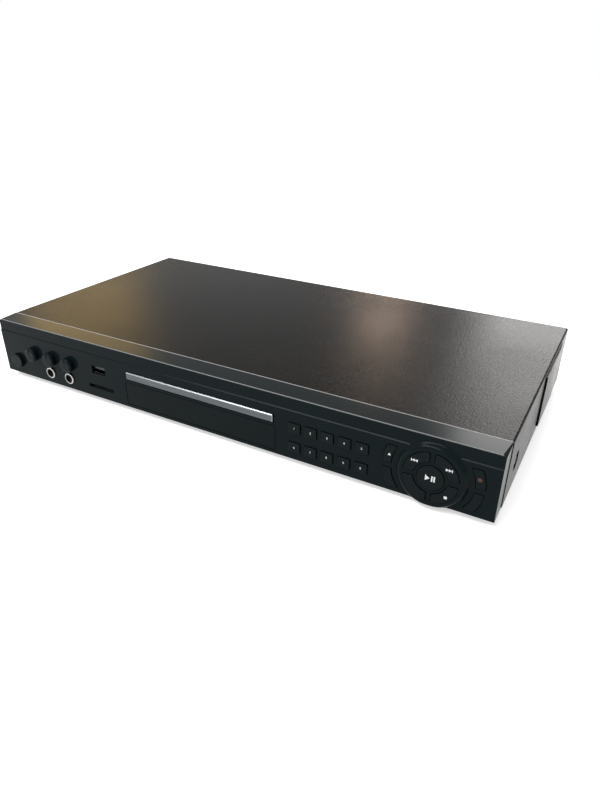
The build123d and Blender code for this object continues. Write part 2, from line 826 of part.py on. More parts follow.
def card_socket():
    """Card socket: flat shell through a slot in the mic board, held by a collar behind it."""
    front = face_back_y + catch_gap
    w, depth, h = card_body
    side, over, thickness = card_ear
    outline = Pos(card_x, card_z) * Rectangle(w, h)
    shell = prism_y(outline, (front, front + depth))
    mouth = Pos(card_x, card_z) * Rectangle(2 * card_size[0] - card_body[0], card_mouth_height)
    shell -= prism_y(mouth, (front - 1, front + depth - 2))
    collar = Pos(card_x, card_z) * Rectangle(w + 2 * side, h + 2 * over) - outline
    return shell + prism_y(collar, (mic_board_y[1], mic_board_y[1] + thickness))


def key_board():
    """L-shaped board behind the window and the keys, with one tactile switch for each control."""
    under_window = window_z + window_height / 2 - key_board_below_window
    body = block(key_board_x, key_board_y, (board_low, under_window))
    body += block((key_board_step_x, key_board_x[1]), key_board_y, (board_low, board_high))
    for x, z in key_post_places:
        body -= bar_y(screw_hole_r, x, key_board_y, z)
    side, height, plunger = tact_size
    for outline in switched_controls:
        place = outline.center()
        case = Pos(place.X, place.Y) * Rectangle(side, side)
        body += prism_y(case, (key_board_y[0] - height, key_board_y[0]))
        body += bar_y(tact_plunger_r, place.X, (key_board_y[0] - height - plunger, key_board_y[0]), place.Y)
    return body


def display_tube():
    """Flat glass display tube lying on the front of the key board."""
    w, h, t = tube_size
    middle_y = key_board_y[0] - t / 2
    tube = prism_y(Pos(window_x, window_z) * RectangleRounded(w, h, 1.0), (key_board_y[0] - t, key_board_y[0]))
    r, length = tube_tip
    return tube + bar_x(r, (window_x + w / 2 - 1, window_x + w / 2 + length), middle_y, window_z)


def display_window():
    """Smoked window filling its opening, with a flange behind the wall."""
    flange_front = face_back_y + catch_gap
    cap = prism_y(window_outline, (face_y + window_inset, flange_front))
    flange = prism_y(offset(window_outline, catch), (flange_front, flange_front + window_flange))
    return cap + flange


# ---- Case ----
def raised_panel():
    """The pressed-out panel of one side: sharp at the front, fading at the back."""
    half = case_width / 2
    start = seam_y + side_panel_start
    end = start + side_panel_length
    levels = (foot_height + side_panel_edge, top_z - side_panel_edge)

    def plan(inset, out):
        edge = half - sheet + out
        return make_face(Polyline(
            (half - sheet - 1 if inset else half - 0.2, start + inset), (edge, start + inset),
            (edge, end - side_panel_ramp), (half - (sheet if inset else 0), end - inset),
            (half - sheet - 1 if inset else half - 0.2, end - inset), close=True))

    skin = prism_z(plan(0, sheet + side_panel_rise), levels)
    hollow = prism_z(plan(sheet, side_panel_rise), (levels[0] + sheet, levels[1] - sheet))
    return skin, hollow


def dimple_cone(out, grow):
    """A dimple's cone: grow is how much wider and further in than the visible cup it is."""
    height = dimple_depth + (0 if grow else 0.5)
    wide = dimple_r + grow + (0 if grow else 0.3)
    cone = Cone(dimple_r - 1.5 + grow, wide, height)
    return Pos(out - height / 2, seam_y + dimple_from_seam, top_z - dimple_below_top) * Rot(0, 90, 0) * cone


def top_cover():
    """Folded sheet: top and two sides, with a raised panel and a screw dimple on each side."""
    half = case_width / 2
    length = (seam_y + cover_seam_gap, rear_y)
    body = block((-half, half), length, (foot_height, top_z))
    long_edges = body.edges().filter_by(Axis.Y).group_by(Axis.Z)[-1]
    body = fillet(long_edges, cover_bend)
    inner = block((-half + sheet, half - sheet), (length[0] - 1, length[1] + 1), (0, top_z - sheet))
    body -= fillet(inner.edges().filter_by(Axis.Y).group_by(Axis.Z)[-1], cover_bend - sheet)
    skin, hollow = raised_panel()
    cup = dimple_cone(half - sheet, 1.0)
    dish = dimple_cone(half + 0.5, 0)
    hole = bar_x(screw_hole_r + 0.1, (half - 6, half + 1), seam_y + dimple_from_seam, top_z - dimple_below_top)
    for shape in mirrored(skin) + mirrored(cup):
        body += shape
    for shape in mirrored(hollow) + mirrored(dish) + mirrored(hole):
        body -= shape
    return body


def base_chassis():
    """Floor with side flanges, front wall with its three windows, posts and screw tabs."""
    half = case_width / 2 - sheet - cover_clearance
    back = rear_y - rear_panel_inset
    body = block((-half, half), (seam_y, back), (foot_height, floor_z))
    flange_end = back - sheet - cover_clearance
    for side in (-1, 1):
        body += block((side * half, side * (half - sheet)), (seam_y, flange_end),
                      (floor_z, floor_z + side_flange_height))
    wall = (seam_y, seam_y + sheet)
    body += block((-half, half), wall, (floor_z, top_z - wall_below_top))
    body -= block(mic_board_x, wall, (board_low, board_high))
    body -= block((tray_x - tray_slot[0] / 2, tray_x + tray_slot[0] / 2), wall,
                  (tray_z - wall_slot_gap, tray_top + wall_slot_gap))
    wiring_x = end_x - wiring_from_end
    wiring_z = floor_z + wiring_above_floor
    body -= block((wiring_x - wiring_window[0], wiring_x), wall, (wiring_z, wiring_z + wiring_window[1]))
    for x, y in board_posts:
        body += post(standoff_r, x, y, (floor_z, board_z))
        body -= post(screw_hole_r, x, y, (floor_z + sheet, board_z))
    for x, y in frame_posts:
        body += post(frame_post_r, x, y, (floor_z, plate_z))
        body -= post(screw_hole_r, x, y, (floor_z + sheet, plate_z))
    tab_x = case_width / 2 - sheet - dimple_depth - cover_clearance / 2
    dimple_y = seam_y + dimple_from_seam
    dimple_z = top_z - dimple_below_top
    for side in (-1, 1):
        tab = block((side * (tab_x - sheet), side * tab_x), (dimple_y - tab_half, dimple_y + tab_half),
                    (floor_z, dimple_z + tab_half))
        body += tab - bar_x(screw_hole_r, (side * (tab_x - 2 * sheet), side * tab_x), dimple_y, dimple_z)
        screw(side * (case_width / 2 - dimple_depth), dimple_y, dimple_z, "-x" if side > 0 else "+x",
              sheet + board_screw_bite)
    for x, y in foot_places + rear_flange_screws:
        body -= post(screw_hole_r, x, y, (foot_height, floor_z))
    for i in range(floor_vent_count):
        x = tray_x + (i - (floor_vent_count - 1) / 2) * floor_vent_pitch
        vent = Pos(x, rear_y - floor_vent_from_rear) * Rot(0, 0, 90) * SlotOverall(*floor_vent)
        body -= prism_z(vent, (foot_height, floor_z))
    return body


def foot(x, y):
    """Rubber foot with a recess for its screw."""
    shape = post(foot_r, x, y, (0, foot_height))
    shape = fillet(shape.edges().sort_by(Axis.Z)[0], foot_edge)
    shape -= post(screw_head_r + foot_recess_gap, x, y, (0, foot_height / 2))
    screw(x, y, foot_height / 2, "+z", foot_height)
    return shape - post(screw_hole_r, x, y, (0, foot_height))


def rear_panel():
    """Rear sheet with a foot flange, sockets' openings and vent slots."""
    half = case_width / 2 - sheet - 2 * cover_clearance
    back = rear_y - rear_panel_inset
    plane = (back - sheet, back)
    body = block((-half, half), plane, (floor_z, top_z - sheet - rear_panel_gap))
    flange_half = half - sheet - 3 * cover_clearance
    body += block((-flange_half, flange_half), (plane[0] - rear_flange, plane[0]), (floor_z, floor_z + sheet))
    for x, z in rca_places:
        body -= bar_y(rca_shell_r + rca_opening_gap, x, plane, z)
    body -= prism_y(offset(Pos(hdmi_x, hdmi_z) * Rectangle(*hdmi_size), hdmi_opening_gap), plane)
    inlet = Pos(inlet_x, inlet_z) * Rectangle(inlet_body[0], inlet_body[2])
    body -= prism_y(offset(inlet, inlet_opening_gap), plane)
    for i in range(rear_vent_count):
        x = end_x - rear_vent_from_end + i * rear_vent_pitch
        vent = Pos(x, top_z - rear_vent_below_top) * Rot(0, 0, 90) * SlotOverall(*rear_vent)
        body -= prism_y(vent, plane)
    for x, y in rear_flange_screws:
        body -= post(screw_hole_r, x, y, (floor_z, floor_z + sheet))
        screw(x, y, floor_z + sheet, "-z", 2 * sheet)
    return body


def rca_jacks():
    """Block of six phono jacks: metal shells standing out of the rear."""
    back = rear_y - rear_panel_inset - sheet
    w, depth, h = rca_block
    body = block((rca_x - w / 2, rca_x + w / 2), (back - depth, back), (board_z + board, board_z + board + h))
    for x, z in rca_places:
        body += bar_y(rca_shell_r, x, (back, rear_y + rca_reach), z)
        body -= bar_y(rca_bore_r, x, (back, rear_y + rca_reach + 1), z)
    return body


def hdmi_socket():
    """Flat video socket standing on the main board: shell with chamfered lower corners and tongue."""
    back = rear_y - rear_panel_inset + hdmi_proud
    front = back - hdmi_depth
    w, h = hdmi_size

    def shell(inset, y):
        body = prism_y(offset(Pos(hdmi_x, hdmi_z) * Rectangle(w, h), -inset, kind=Kind.INTERSECTION), y)
        return chamfer(body.edges().filter_by(Axis.Y).group_by(Axis.Z)[0], hdmi_corner)

    tongue = block((hdmi_x - w / 2 + 3 * hdmi_wall, hdmi_x + w / 2 - 3 * hdmi_wall), (front + 1, back - 1),
                   (hdmi_z, hdmi_z + 2 * hdmi_wall))
    return shell(0, (front, back)) - shell(hdmi_wall, (front + 2, back + 1)) + tongue


def mains_inlet():
    """Figure-eight inlet: flange outside the rear panel, snap body inside, two pins."""
    w, depth, h = inlet_body
    over, thickness, corner = inlet_flange
    outside = rear_y - rear_panel_inset
    place = Pos(inlet_x, inlet_z)
    body = prism_y(place * Rectangle(w, h), (outside - depth, outside))
    flange = place * RectangleRounded(w + 2 * over, h + 2 * over, corner)
    body += prism_y(flange, (outside, outside + thickness))
    reach, ear_thickness, ear_height = inlet_ear
    ear_back = outside - sheet
    body += prism_y(place * Rectangle(w + 2 * reach, ear_height), (ear_back - ear_thickness, ear_back))
    mouth_w, mouth_h, mouth_depth = inlet_mouth
    body -= prism_y(place * SlotOverall(mouth_w, mouth_h), (outside - mouth_depth, outside + thickness + 1))
    for side in (-1, 1):
        pin = (outside - mouth_depth - 1, outside - inlet_pin_short)
        body += bar_y(inlet_pin_r, inlet_x + side * inlet_pin_half, pin, inlet_z)
    return body


# ---- Boards on the floor ----
def bare_board(x, y):
    """One board with its screw holes, and the screws that hold it."""
    body = block(x, y, (board_z, board_z + board))
    for post_x, post_y in board_posts:
        if x[0] < post_x < x[1]:
            body -= post(screw_hole_r, post_x, post_y, (board_z, board_z + board))
            screw(post_x, post_y, board_z + board, "-z", board + board_screw_bite)
    return body


def soldered(size, x, y, lift=0.0):
    """A part on a floor board: a block from width, depth, height, or a can from radius, height."""
    low = board_z + board + lift
    if len(size) == 2:
        return post(size[0], x, y, (low, low + size[1]))
    w, d, h = size
    return block((x - w / 2, x + w / 2), (y - d / 2, y + d / 2), (low, low + h))


def main_board():
    """Decoder board with its processor, memory, capacitors and flat-cable sockets."""
    chip_x, chip_y = sum(main_board_x) / 2, sum(main_board_y) / 2 - chip_forward
    body = bare_board(main_board_x, main_board_y) + soldered(chip, chip_x, chip_y)
    for i in range(fin_count):
        body += soldered(fin, chip_x + (i - (fin_count - 1) / 2) * fin_pitch, chip_y, chip[2])
    body += soldered(memory, chip_x + memory_from_chip, chip_y)
    for i in range(small_capacitor_count):
        x = main_board_x[0] + small_capacitor_corner[0] + i * small_capacitor_pitch
        body += soldered(small_capacitor, x, main_board_y[0] + small_capacitor_corner[1])
    for i in range(flat_socket_count):
        body += soldered(flat_socket, main_board_x[1] - flat_socket_corner[0],
                         main_board_y[0] + flat_socket_corner[1] + i * flat_socket_pitch)
    return body


def power_board():
    """Supply board with transformer, main capacitor, smoothing capacitors, heat sink and coil."""
    x, y = sum(power_board_x) / 2, sum(power_board_y) / 2
    body = bare_board(power_board_x, power_board_y)
    body += soldered(transformer_core, x, y) + soldered(transformer_winding, x, y)
    for size, place in ((mains_capacitor, mains_capacitor_at), (heat_sink, heat_sink_at),
                        (filter_coil, filter_coil_at)):
        body += soldered(size, x + place[0], y + place[1])
    for i in range(output_capacitor_count):
        body += soldered(output_capacitor, x + output_capacitor_at[0],
                         y + output_capacitor_at[1] + i * output_capacitor_pitch)
    return body


# ---- Loader ----
def loader_frame():
    """Moulded frame: deck, side walls, tray ledges and lips, gear posts, ears and pivot blocks."""
    half = frame_half
    inner = tray_width / 2 + tray_side_gap
    front, back = seam_y + frame_front, seam_y + frame_back
    window = frame_window
    body = block((tray_x - half, tray_x + half), (front, back), (plate_z, plate_top))
    body -= block((tray_x - window[0], tray_x + window[0]), (seam_y + window[1], seam_y + window[2]),
                  (plate_z, plate_top))
    ledge_top = tray_z - tray_lift_gap
    lip_reach, lip_length, lip_thickness = lip
    lip_z = (tray_top + tray_lift_gap, tray_top + tray_lift_gap + lip_thickness)
    pivot_w, pivot_l, pivot_over = pivot_block
    for side in (-1, 1):
        wall = (tray_x + side * inner, tray_x + side * half)
        body += block(wall, (front, back), (plate_z, lip_z[1]))
        body += block((tray_x + side * (inner - tray_rail), wall[1]), (front, back),
                      (ledge_top - ledge, ledge_top))
        for y in lip_from_seam:
            body += block((tray_x + side * (inner - lip_reach), wall[1]),
                          (seam_y + y, seam_y + y + lip_length), lip_z)
        bridge_seat = (disc_y - bridge_half_width, disc_y + bridge_half_width)
        body += block(wall, bridge_seat, (plate_z, bridge_z))
        body -= post(bridge_hole_r, bridge_hole_x(side), disc_y, (lip_z[1], bridge_z))
        pivot_x = tray_x + side * (window[0] + pivot_side_gap)
        pivot_end = pivot_x + side * pivot_w
        body += block((pivot_x, pivot_end), (pivot_y - pivot_l / 2, pivot_y + pivot_l / 2),
                      (plate_z, pivot_z + pivot_over))
        body -= bar_x(pivot_r + shaft_fit, (pivot_x - side, pivot_end + side), pivot_y, pivot_z)
    body += block((tray_x - half, tray_x + half), (back - frame_wall, back), (plate_z, ledge_top))
    ear_reach, ear_width = ear
    for x, y in frame_posts:
        side = 1 if x > tray_x else -1
        ear_x = (tray_x + side * half, tray_x + side * (half + ear_reach))
        body += block(ear_x, (y - ear_width / 2, y + ear_width / 2), (plate_z, plate_top))
        body -= post(screw_hole_r, x, y, (plate_z, plate_top))
        screw(x, y, plate_top, "-z", plate + 2 * board_screw_bite)
    body += post(gear_post_r, gear_x, gear_y, (plate_top, pinion_z[1] - pinion_lift))
    body += post(driver_post_r, driver_x, gear_y, (plate_top, driver_z[1] + post_over))
    return body - post(motor_boss_r + cutout_gap, motor_x, gear_y, (plate_z, plate_top))


def bridge_hole_x(side):
    """Where the clamp bridge is held to the frame's side wall."""
    return tray_x + side * (frame_half - frame_wall / 2)


def tray_gear():
    """Pinion for the tray's rack over a wheel driven by the pulley gear."""
    shape = Pos(gear_x, gear_y) * prism_z(gear_outline(rack_module, pinion_teeth, 0), pinion_z)
    shape += Pos(gear_x, gear_y) * prism_z(gear_outline(wheel_module, wheel_teeth, 180), wheel_z)
    shape += post(gear_hub_r, gear_x, gear_y, (plate_top + pinion_lift, pinion_z[0]))
    return shape - post(gear_post_r + shaft_fit, gear_x, gear_y, (plate_z, tray_top))


def pulley(x, groove_r, over):
    """A belt pulley: two flanges with a groove between them."""
    low, high = pulley_z
    groove = (low + pulley_flange, high - pulley_flange)
    return (post(groove_r + over, x, gear_y, (low, groove[0])) + post(groove_r, x, gear_y, groove)
            + post(groove_r + over, x, gear_y, (groove[1], high)))


def pulley_gear():
    """Belt pulley with a small gear on it, meshing with the wheel."""
    half_pitch = 180 / driver_teeth
    shape = pulley(driver_x, pulley_r, pulley_lip)
    shape += Pos(driver_x, gear_y) * prism_z(gear_outline(wheel_module, driver_teeth, half_pitch), driver_z)
    return shape - post(driver_post_r + shaft_fit, driver_x, gear_y, (plate_z, tray_top))


def motor_pulley():
    """Small belt pulley on the loading motor's shaft."""
    bore = post(motor_shaft_r + shaft_fit, motor_x, gear_y, (plate_z, tray_top))
    return pulley(motor_x, motor_pulley_r, motor_pulley_lip) - bore


def drive_belt():
    """Square rubber belt round the two pulleys."""

    def loop(extra):
        rounds = [Pos(driver_x, gear_y) * Circle(pulley_r + belt_gap + extra),
                  Pos(motor_x, gear_y) * Circle(motor_pulley_r + belt_gap + extra)]
        return make_hull([edge for circle in rounds for edge in circle.edges()])

    middle = (pulley_z[0] + pulley_z[1]) / 2
    return prism_z(loop(belt_side) - loop(0), (middle - belt_side / 2, middle + belt_side / 2))


def loader_motor():
    """Motor can under the frame's deck, with its boss and shaft coming up through it."""
    can = post(motor_r, motor_x, gear_y, (plate_z - motor_height, plate_z))
    can = fillet(can.edges().sort_by(Axis.Z)[0], foot_edge)
    can += post(motor_boss_r, motor_x, gear_y, (plate_z, plate_top))
    return can + post(motor_shaft_r, motor_x, gear_y, (plate_top, pulley_z[1] + post_over))


def disc_tray():
    """Tray: disc wells, rails, rack under the right side, slot open to the rear."""
    half = tray_width / 2
    back = seam_y + tray_back
    body = block((tray_x - half, tray_x + half), (tray_front_y, back), (tray_z, tray_top))
    body = fillet(body.edges().filter_by(Axis.Z).sort_by(Axis.Y)[-2:], tray_corner)
    body -= block((tray_x - half + tray_rail, tray_x + half - tray_rail),
                  (tray_front_y + tray_front_wall, back + 1), (tray_z, tray_under))
    body -= post(disc_well_r, tray_x, disc_y, (well_z, tray_top + 1))
    body -= post(small_disc_r, tray_x, disc_y, (well_z - small_disc_depth, tray_top))
    rack_back = tray_x + half - tray_rail / 2
    rack_y = (gear_y - rack_over, gear_y + tray_travel + rack_over)
    rack = rack_outline(rack_module, rack_y, gear_y, -1, tray_x + rack_from_centre, rack_back)
    body += prism_z(rack, (tray_z, tray_under))
    behind = tray_back - disc_from_seam
    slot = Circle(tray_slot_half) + Pos(0, behind) * Rectangle(2 * tray_slot_half, 2 * behind)
    return body - prism_z(Pos(tray_x, disc_y) * slot, (tray_z - 1, tray_top + 1))


def tray_fascia():
    """The tray's front plate, with a bevelled border."""
    outline = Pos(tray_x, fascia_z) * Rectangle(fascia_width, fascia_height)
    body = prism_y(outline, (fascia_y, tray_front_y))
    return chamfer(body.faces().sort_by(Axis.Y)[0].edges(), fascia_bevel)


def clamp_bridge():
    """Metal strip across the frame over the disc, holding the clamp puck."""
    z = (bridge_z, bridge_z + bridge_thickness)
    body = block((tray_x - frame_half, tray_x + frame_half),
                 (disc_y - bridge_half_width, disc_y + bridge_half_width), z)
    body += post(puck_r + bridge_round, tray_x, disc_y, z)
    body -= post(puck_neck_r + bridge_hole_gap, tray_x, disc_y, z)
    for side in (-1, 1):
        body -= post(bridge_hole_r, bridge_hole_x(side), disc_y, z)
    return body


def clamp_puck():
    """Magnetic clamp: lower disc, neck through the bridge, upper flange resting on the bridge."""
    top = bridge_z + bridge_thickness
    over, thickness = puck_flange
    shape = post(puck_r, tray_x, disc_y, (puck_bottom, bridge_z - puck_gap))
    shape += post(puck_neck_r, tray_x, disc_y, (puck_bottom, top + thickness))
    shape += post(puck_r + over, tray_x, disc_y, (top, top + thickness))
    hub_top = turntable_top + hub_height + hub_clearance
    return shape - post(hub_r + hub_clearance, tray_x, disc_y, (puck_bottom, hub_top))


# ---- Traverse ----
def traverse_frame():
    """Tilting sub-frame: plate with the sled's window, rod blocks, feed post, rear arms and pins."""
    front, back = seam_y + traverse_front, seam_y + traverse_back
    body = block((tray_x - traverse_half, tray_x + traverse_half), (front, back), (traverse_z, traverse_top))
    body = fillet(body.edges().filter_by(Axis.Z), 3.0)
    half, y0, y1 = sled_window
    body -= block((tray_x - half, tray_x + half), (seam_y + y0, seam_y + y1), (traverse_z, traverse_top))
    rod_w, rod_l, rod_over = rod_block
    arm_w, arm_past_pivot, arm_over = arm
    for side in (-1, 1):
        x = tray_x + side * rod_half_spacing
        for y in (y0 - rod_l, y1):
            body += block((x - rod_w / 2, x + rod_w / 2), (seam_y + y, seam_y + y + rod_l),
                          (traverse_top, rod_z + rod_over))
        body -= bar_y(rod_r, x, (seam_y + y0 - rod_seat, seam_y + y1 + rod_seat), rod_z)
        arm_x = (tray_x + side * (traverse_half - arm_w), tray_x + side * traverse_half)
        body += block(arm_x, (back - arm_w, pivot_y + arm_past_pivot), (traverse_z, pivot_z + arm_over))
        pin_end = tray_x + side * (frame_window[0] + pivot_pin)
        body += bar_x(pivot_r, (arm_x[1] - side, pin_end), pivot_y, pivot_z)
    body += post(feed_post_r, feed_x, feed_y, (traverse_top, feed_z[1]))
    return body - post(feed_shaft_hole_r, feed_pinion_x, feed_pinion_y, (traverse_z, traverse_top))


def traverse_motors():
    """Spindle motor on the plate, and the small feed motor under it."""
    r, height = spindle_motor
    spindle = post(r, tray_x, disc_y, (traverse_top, spindle_top))
    spindle = fillet(spindle.edges().sort_by(Axis.Z)[-1], spindle_short)
    spindle += post(spindle_r, tray_x, disc_y, (spindle_top, turntable_top - spindle_short))
    r, height = feed_motor
    feed = post(r, feed_pinion_x, feed_pinion_y, (traverse_z - height, traverse_z))
    feed += post(feed_shaft_r, feed_pinion_x, feed_pinion_y, (traverse_z, feed_z[1]))
    return spindle, feed


def turntable():
    """Disc table with its centring hub, on the spindle motor's shaft."""
    rim_low = turntable_top - turntable_rim
    shape = post(turntable_stem_r, tray_x, disc_y, (spindle_top + pinion_lift, rim_low))
    shape += post(turntable_r, tray_x, disc_y, (rim_low, turntable_top))
    hub = post(hub_r, tray_x, disc_y, (turntable_top, turntable_top + hub_height))
    shape += chamfer(hub.edges().sort_by(Axis.Z)[-1], hub_chamfer)
    bore_top = turntable_top - spindle_short + shaft_fit
    return shape - post(spindle_r + shaft_fit, tray_x, disc_y, (spindle_top, bore_top))


def sled_rods():
    """The two steel rods that the pickup runs on."""
    y = (seam_y + sled_window[1] - rod_seat, seam_y + sled_window[2] + rod_seat)
    return [bar_y(rod_r, tray_x + side * rod_half_spacing, y, rod_z) for side in (-1, 1)]


def laser_sled():
    """Pickup carriage on two rods, with lens turret and feed rack."""
    y = (seam_y + sled_front, seam_y + sled_front + sled_length)
    body = block((tray_x - sled_half, tray_x + sled_half), y, (traverse_z + sled_floor_gap, sled_top))
    body = fillet(body.edges().filter_by(Axis.Z), 2.0)
    lens_y = y[0] + lens_from_front
    body += post(turret[0], tray_x, lens_y, (sled_top, sled_top + turret[1]))
    lens_z = sled_top + turret[1]
    body += post(lens[0], tray_x, lens_y, (lens_z, lens_z + lens[1]))
    rack_y = (feed_y - sled_travel - rack_over, feed_y + rack_over)
    rack = rack_outline(feed_module, rack_y, feed_y, -1, rack_side_x, tray_x - sled_half + 1)
    body += prism_z(rack, feed_z)
    for side in (-1, 1):
        bore = (rack_y[0], max(rack_y[1], y[1]))
        body -= bar_y(rod_r + shaft_fit, tray_x + side * rod_half_spacing, bore, rod_z)
    return body


def feed_gear():
    """Gear on the traverse's post that drives the sled's rack."""
    shape = Pos(feed_x, feed_y) * prism_z(gear_outline(feed_module, feed_teeth, 0), feed_z)
    return shape - post(feed_post_r + shaft_fit, feed_x, feed_y, (traverse_z, tray_top))


def feed_pinion():
    """Pinion on the feed motor's shaft."""
    teeth = gear_outline(feed_module, feed_pinion_teeth, feed_pinion_angle - 180)
    shape = Pos(feed_pinion_x, feed_pinion_y) * prism_z(teeth, feed_z)
    return shape - post(feed_shaft_r + shaft_fit, feed_pinion_x, feed_pinion_y, (traverse_z, tray_top))


# ---- Everything, one file for each node ----
save("front_bezel", front_bezel())
save("top_cover", top_cover())
save("base_chassis", base_chassis())
save("rear_panel", rear_panel())
save("feet", *[foot(x, y) for x, y in foot_places])
save("display_window", display_window())
save("display_tube", display_tube())
save("key_board", key_board())
save("mic_board", mic_board())
save("main_board", main_board())
save("power_board", power_board())
save("mic_jacks", *[mic_jack(x) for x in jack_places])
save("jack_nuts", *[jack_nut(x) for x in jack_places])
save("usb_socket", usb_socket())
save("card_socket", card_socket())
save("rca_jacks", rca_jacks())
save("hdmi_socket", hdmi_socket())
save("mains_inlet", mains_inlet())
build_controls()
for number, x in enumerate(knob_places, 1):
    save(f"level_knob_{number}", knob(x))
save("loader_frame", loader_frame())
save("disc_tray", disc_tray())
save("tray_fascia", tray_fascia())
save("tray_gear", tray_gear())
save("pulley_gear", pulley_gear())
save("motor_pulley", motor_pulley())
save("drive_belt", drive_belt())
save("loader_motor", loader_motor())
save("clamp_bridge", clamp_bridge())
save("clamp_puck", clamp_puck())
save("traverse_frame", traverse_frame())
save("traverse_motors", *traverse_motors())
save("turntable", turntable())
save("sled_rods", *sled_rods())
save("laser_sled", laser_sled())
save("feed_gear", feed_gear())
save("feed_pinion", feed_pinion())
save("screws", *screws)
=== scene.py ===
import json
import math

import bmesh
import bpy
from mathutils import Matrix, Vector


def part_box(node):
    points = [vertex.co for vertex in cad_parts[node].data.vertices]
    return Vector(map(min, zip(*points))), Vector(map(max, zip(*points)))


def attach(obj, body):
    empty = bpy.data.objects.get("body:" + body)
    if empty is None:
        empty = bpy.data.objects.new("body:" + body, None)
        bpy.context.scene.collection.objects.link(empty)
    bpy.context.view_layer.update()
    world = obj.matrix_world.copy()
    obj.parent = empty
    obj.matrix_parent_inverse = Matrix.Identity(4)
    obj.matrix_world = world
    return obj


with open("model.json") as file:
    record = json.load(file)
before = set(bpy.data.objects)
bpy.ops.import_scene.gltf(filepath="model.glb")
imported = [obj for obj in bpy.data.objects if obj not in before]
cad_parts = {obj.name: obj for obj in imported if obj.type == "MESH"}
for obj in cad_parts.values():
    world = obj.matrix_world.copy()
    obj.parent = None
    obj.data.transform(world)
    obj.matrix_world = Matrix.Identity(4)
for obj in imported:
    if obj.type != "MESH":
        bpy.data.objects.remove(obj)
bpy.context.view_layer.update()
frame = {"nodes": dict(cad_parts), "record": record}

MM = 0.001

WINDOW_SETBACK = 0.1 * MM
BAND_SETBACK = 0.6 * MM


# ---- Places on the machine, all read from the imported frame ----
def centre_of(node):
    """Middle of a node's box, as X and Z."""
    low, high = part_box(node)
    return (low.x + high.x) / 2, (low.z + high.z) / 2


fascia_low, fascia_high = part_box("tray_fascia")
pad_x, pad_z = centre_of("play_button")
bezel_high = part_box("front_bezel")[1]
top = bezel_high.z
seam = bezel_high.y
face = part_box("display_window")[0].y - WINDOW_SETBACK
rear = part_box("rear_panel")[1].y

# ---- Camera: where it stands and what it covers ----
CAMERA_AT = (0.2525, seam - 0.3278, 0.2446)
CAMERA_AZIMUTH = 28.86
CAMERA_ELEVATION = 28.34
CAMERA_ROLL = 0.51
CAMERA_LENS = 27.77
SENSOR = 36.0

# ---- Legends ----
INK_PROUD = 0.03 * MM
INK_THICK = 0.05 * MM
DIGIT_HEIGHT = 1.7 * MM
FONT_SIZE = 1.35 * DIGIT_HEIGHT
MARK_SMALL = 1.9 * MM
MARK_TALL = 4.0 * MM
MARK_REACH = 10.8 * MM
MARK_DIRECTIONS = {"right": 1, "left": -1, "up": 0}

# ---- Sizes and tones that the finishes share ----
DUST_TONE = (0.42, 0.40, 0.37)
# Colour of the painted highlight laid on edges that would catch a lamp.
EDGE_HIGHLIGHT_TONE = (0.70, 0.71, 0.70)
MOULDING_TONES = ((0.012, 0.012, 0.012), (0.024, 0.024, 0.024))
PLATING_TONES = ((0.06, 0.06, 0.059), (0.16, 0.16, 0.157))
WINDOW_TONES = ((0.0030, 0.0058, 0.0068), (0.0044, 0.0084, 0.0096))
BOARD_THICK = 1.6 * MM
BOARD_MARGIN = 0.05 * MM
GREEN_MASK = (0.012, 0.075, 0.030)
BROWN_MASK = (0.055, 0.045, 0.014)
DARK_PART = (0.018, 0.018, 0.02)
PALE_PART = (0.32, 0.30, 0.26)
TONGUE_SIDE = 1.0 * MM
TONGUE_BELOW = 0.1 * MM
TONGUE_ABOVE = 0.65 * MM
PHONO_PITCH = (18.0 * MM, 13.0 * MM)
PHONO_LOW = 7.5 * MM
PHONO_INSERT = 3.1 * MM
PHONO_PROUD = 0.2 * MM
PHONO_COLOURS = ((0.62, 0.45, 0.03), (0.62, 0.62, 0.60), (0.50, 0.02, 0.015))
PHONO_SHELL = (0.70, 0.70, 0.68)
PHONO_BODY = (0.016, 0.016, 0.016)


# ---- Node helpers ----
def group_tree(name, inputs, outputs):
    """A shader node group with named inputs (kind and default) and outputs (kind)."""
    tree = bpy.data.node_groups.new(name, "ShaderNodeTree")
    for label, (kind, default) in inputs.items():
        socket = tree.interface.new_socket(label, in_out="INPUT", socket_type=kind)
        if default is not None:
            socket.default_value = default
    for label, kind in outputs.items():
        tree.interface.new_socket(label, in_out="OUTPUT", socket_type=kind)
    return tree, tree.nodes.new("NodeGroupInput"), tree.nodes.new("NodeGroupOutput")


def noise(tree, vector, scale, detail=3.0, rough=0.6):
    """A noise texture; scale is a number or a socket."""
    node = tree.nodes.new("ShaderNodeTexNoise")
    node.inputs["Detail"].default_value = detail
    node.inputs["Roughness"].default_value = rough
    tree.links.new(vector, node.inputs["Vector"])
    if isinstance(scale, (int, float)):
        node.inputs["Scale"].default_value = scale
    else:
        tree.links.new(scale, node.inputs["Scale"])
    return node.outputs["Fac"]


def maths(tree, operation, a, b=None, c=None, clamp=False):
    """A Math node; each operand is a number or a socket."""
    node = tree.nodes.new("ShaderNodeMath")
    node.operation = operation
    node.use_clamp = clamp
    for place, value in enumerate((a, b, c)):
        if value is None:
            continue
        if isinstance(value, (int, float)):
            node.inputs[place].default_value = value
        else:
            tree.links.new(value, node.inputs[place])
    return node.outputs[0]


def mix_colour(tree, factor, a, b):
    """A colour mix; a and b are colours or sockets."""
    node = tree.nodes.new("ShaderNodeMix")
    node.data_type = "RGBA"
    tree.links.new(factor, node.inputs["Factor"])
    for place, value in ((6, a), (7, b)):
        if isinstance(value, (tuple, list)):
            node.inputs[place].default_value = (*value[:3], 1.0)
        else:
            tree.links.new(value, node.inputs[place])
    return node.outputs[2]


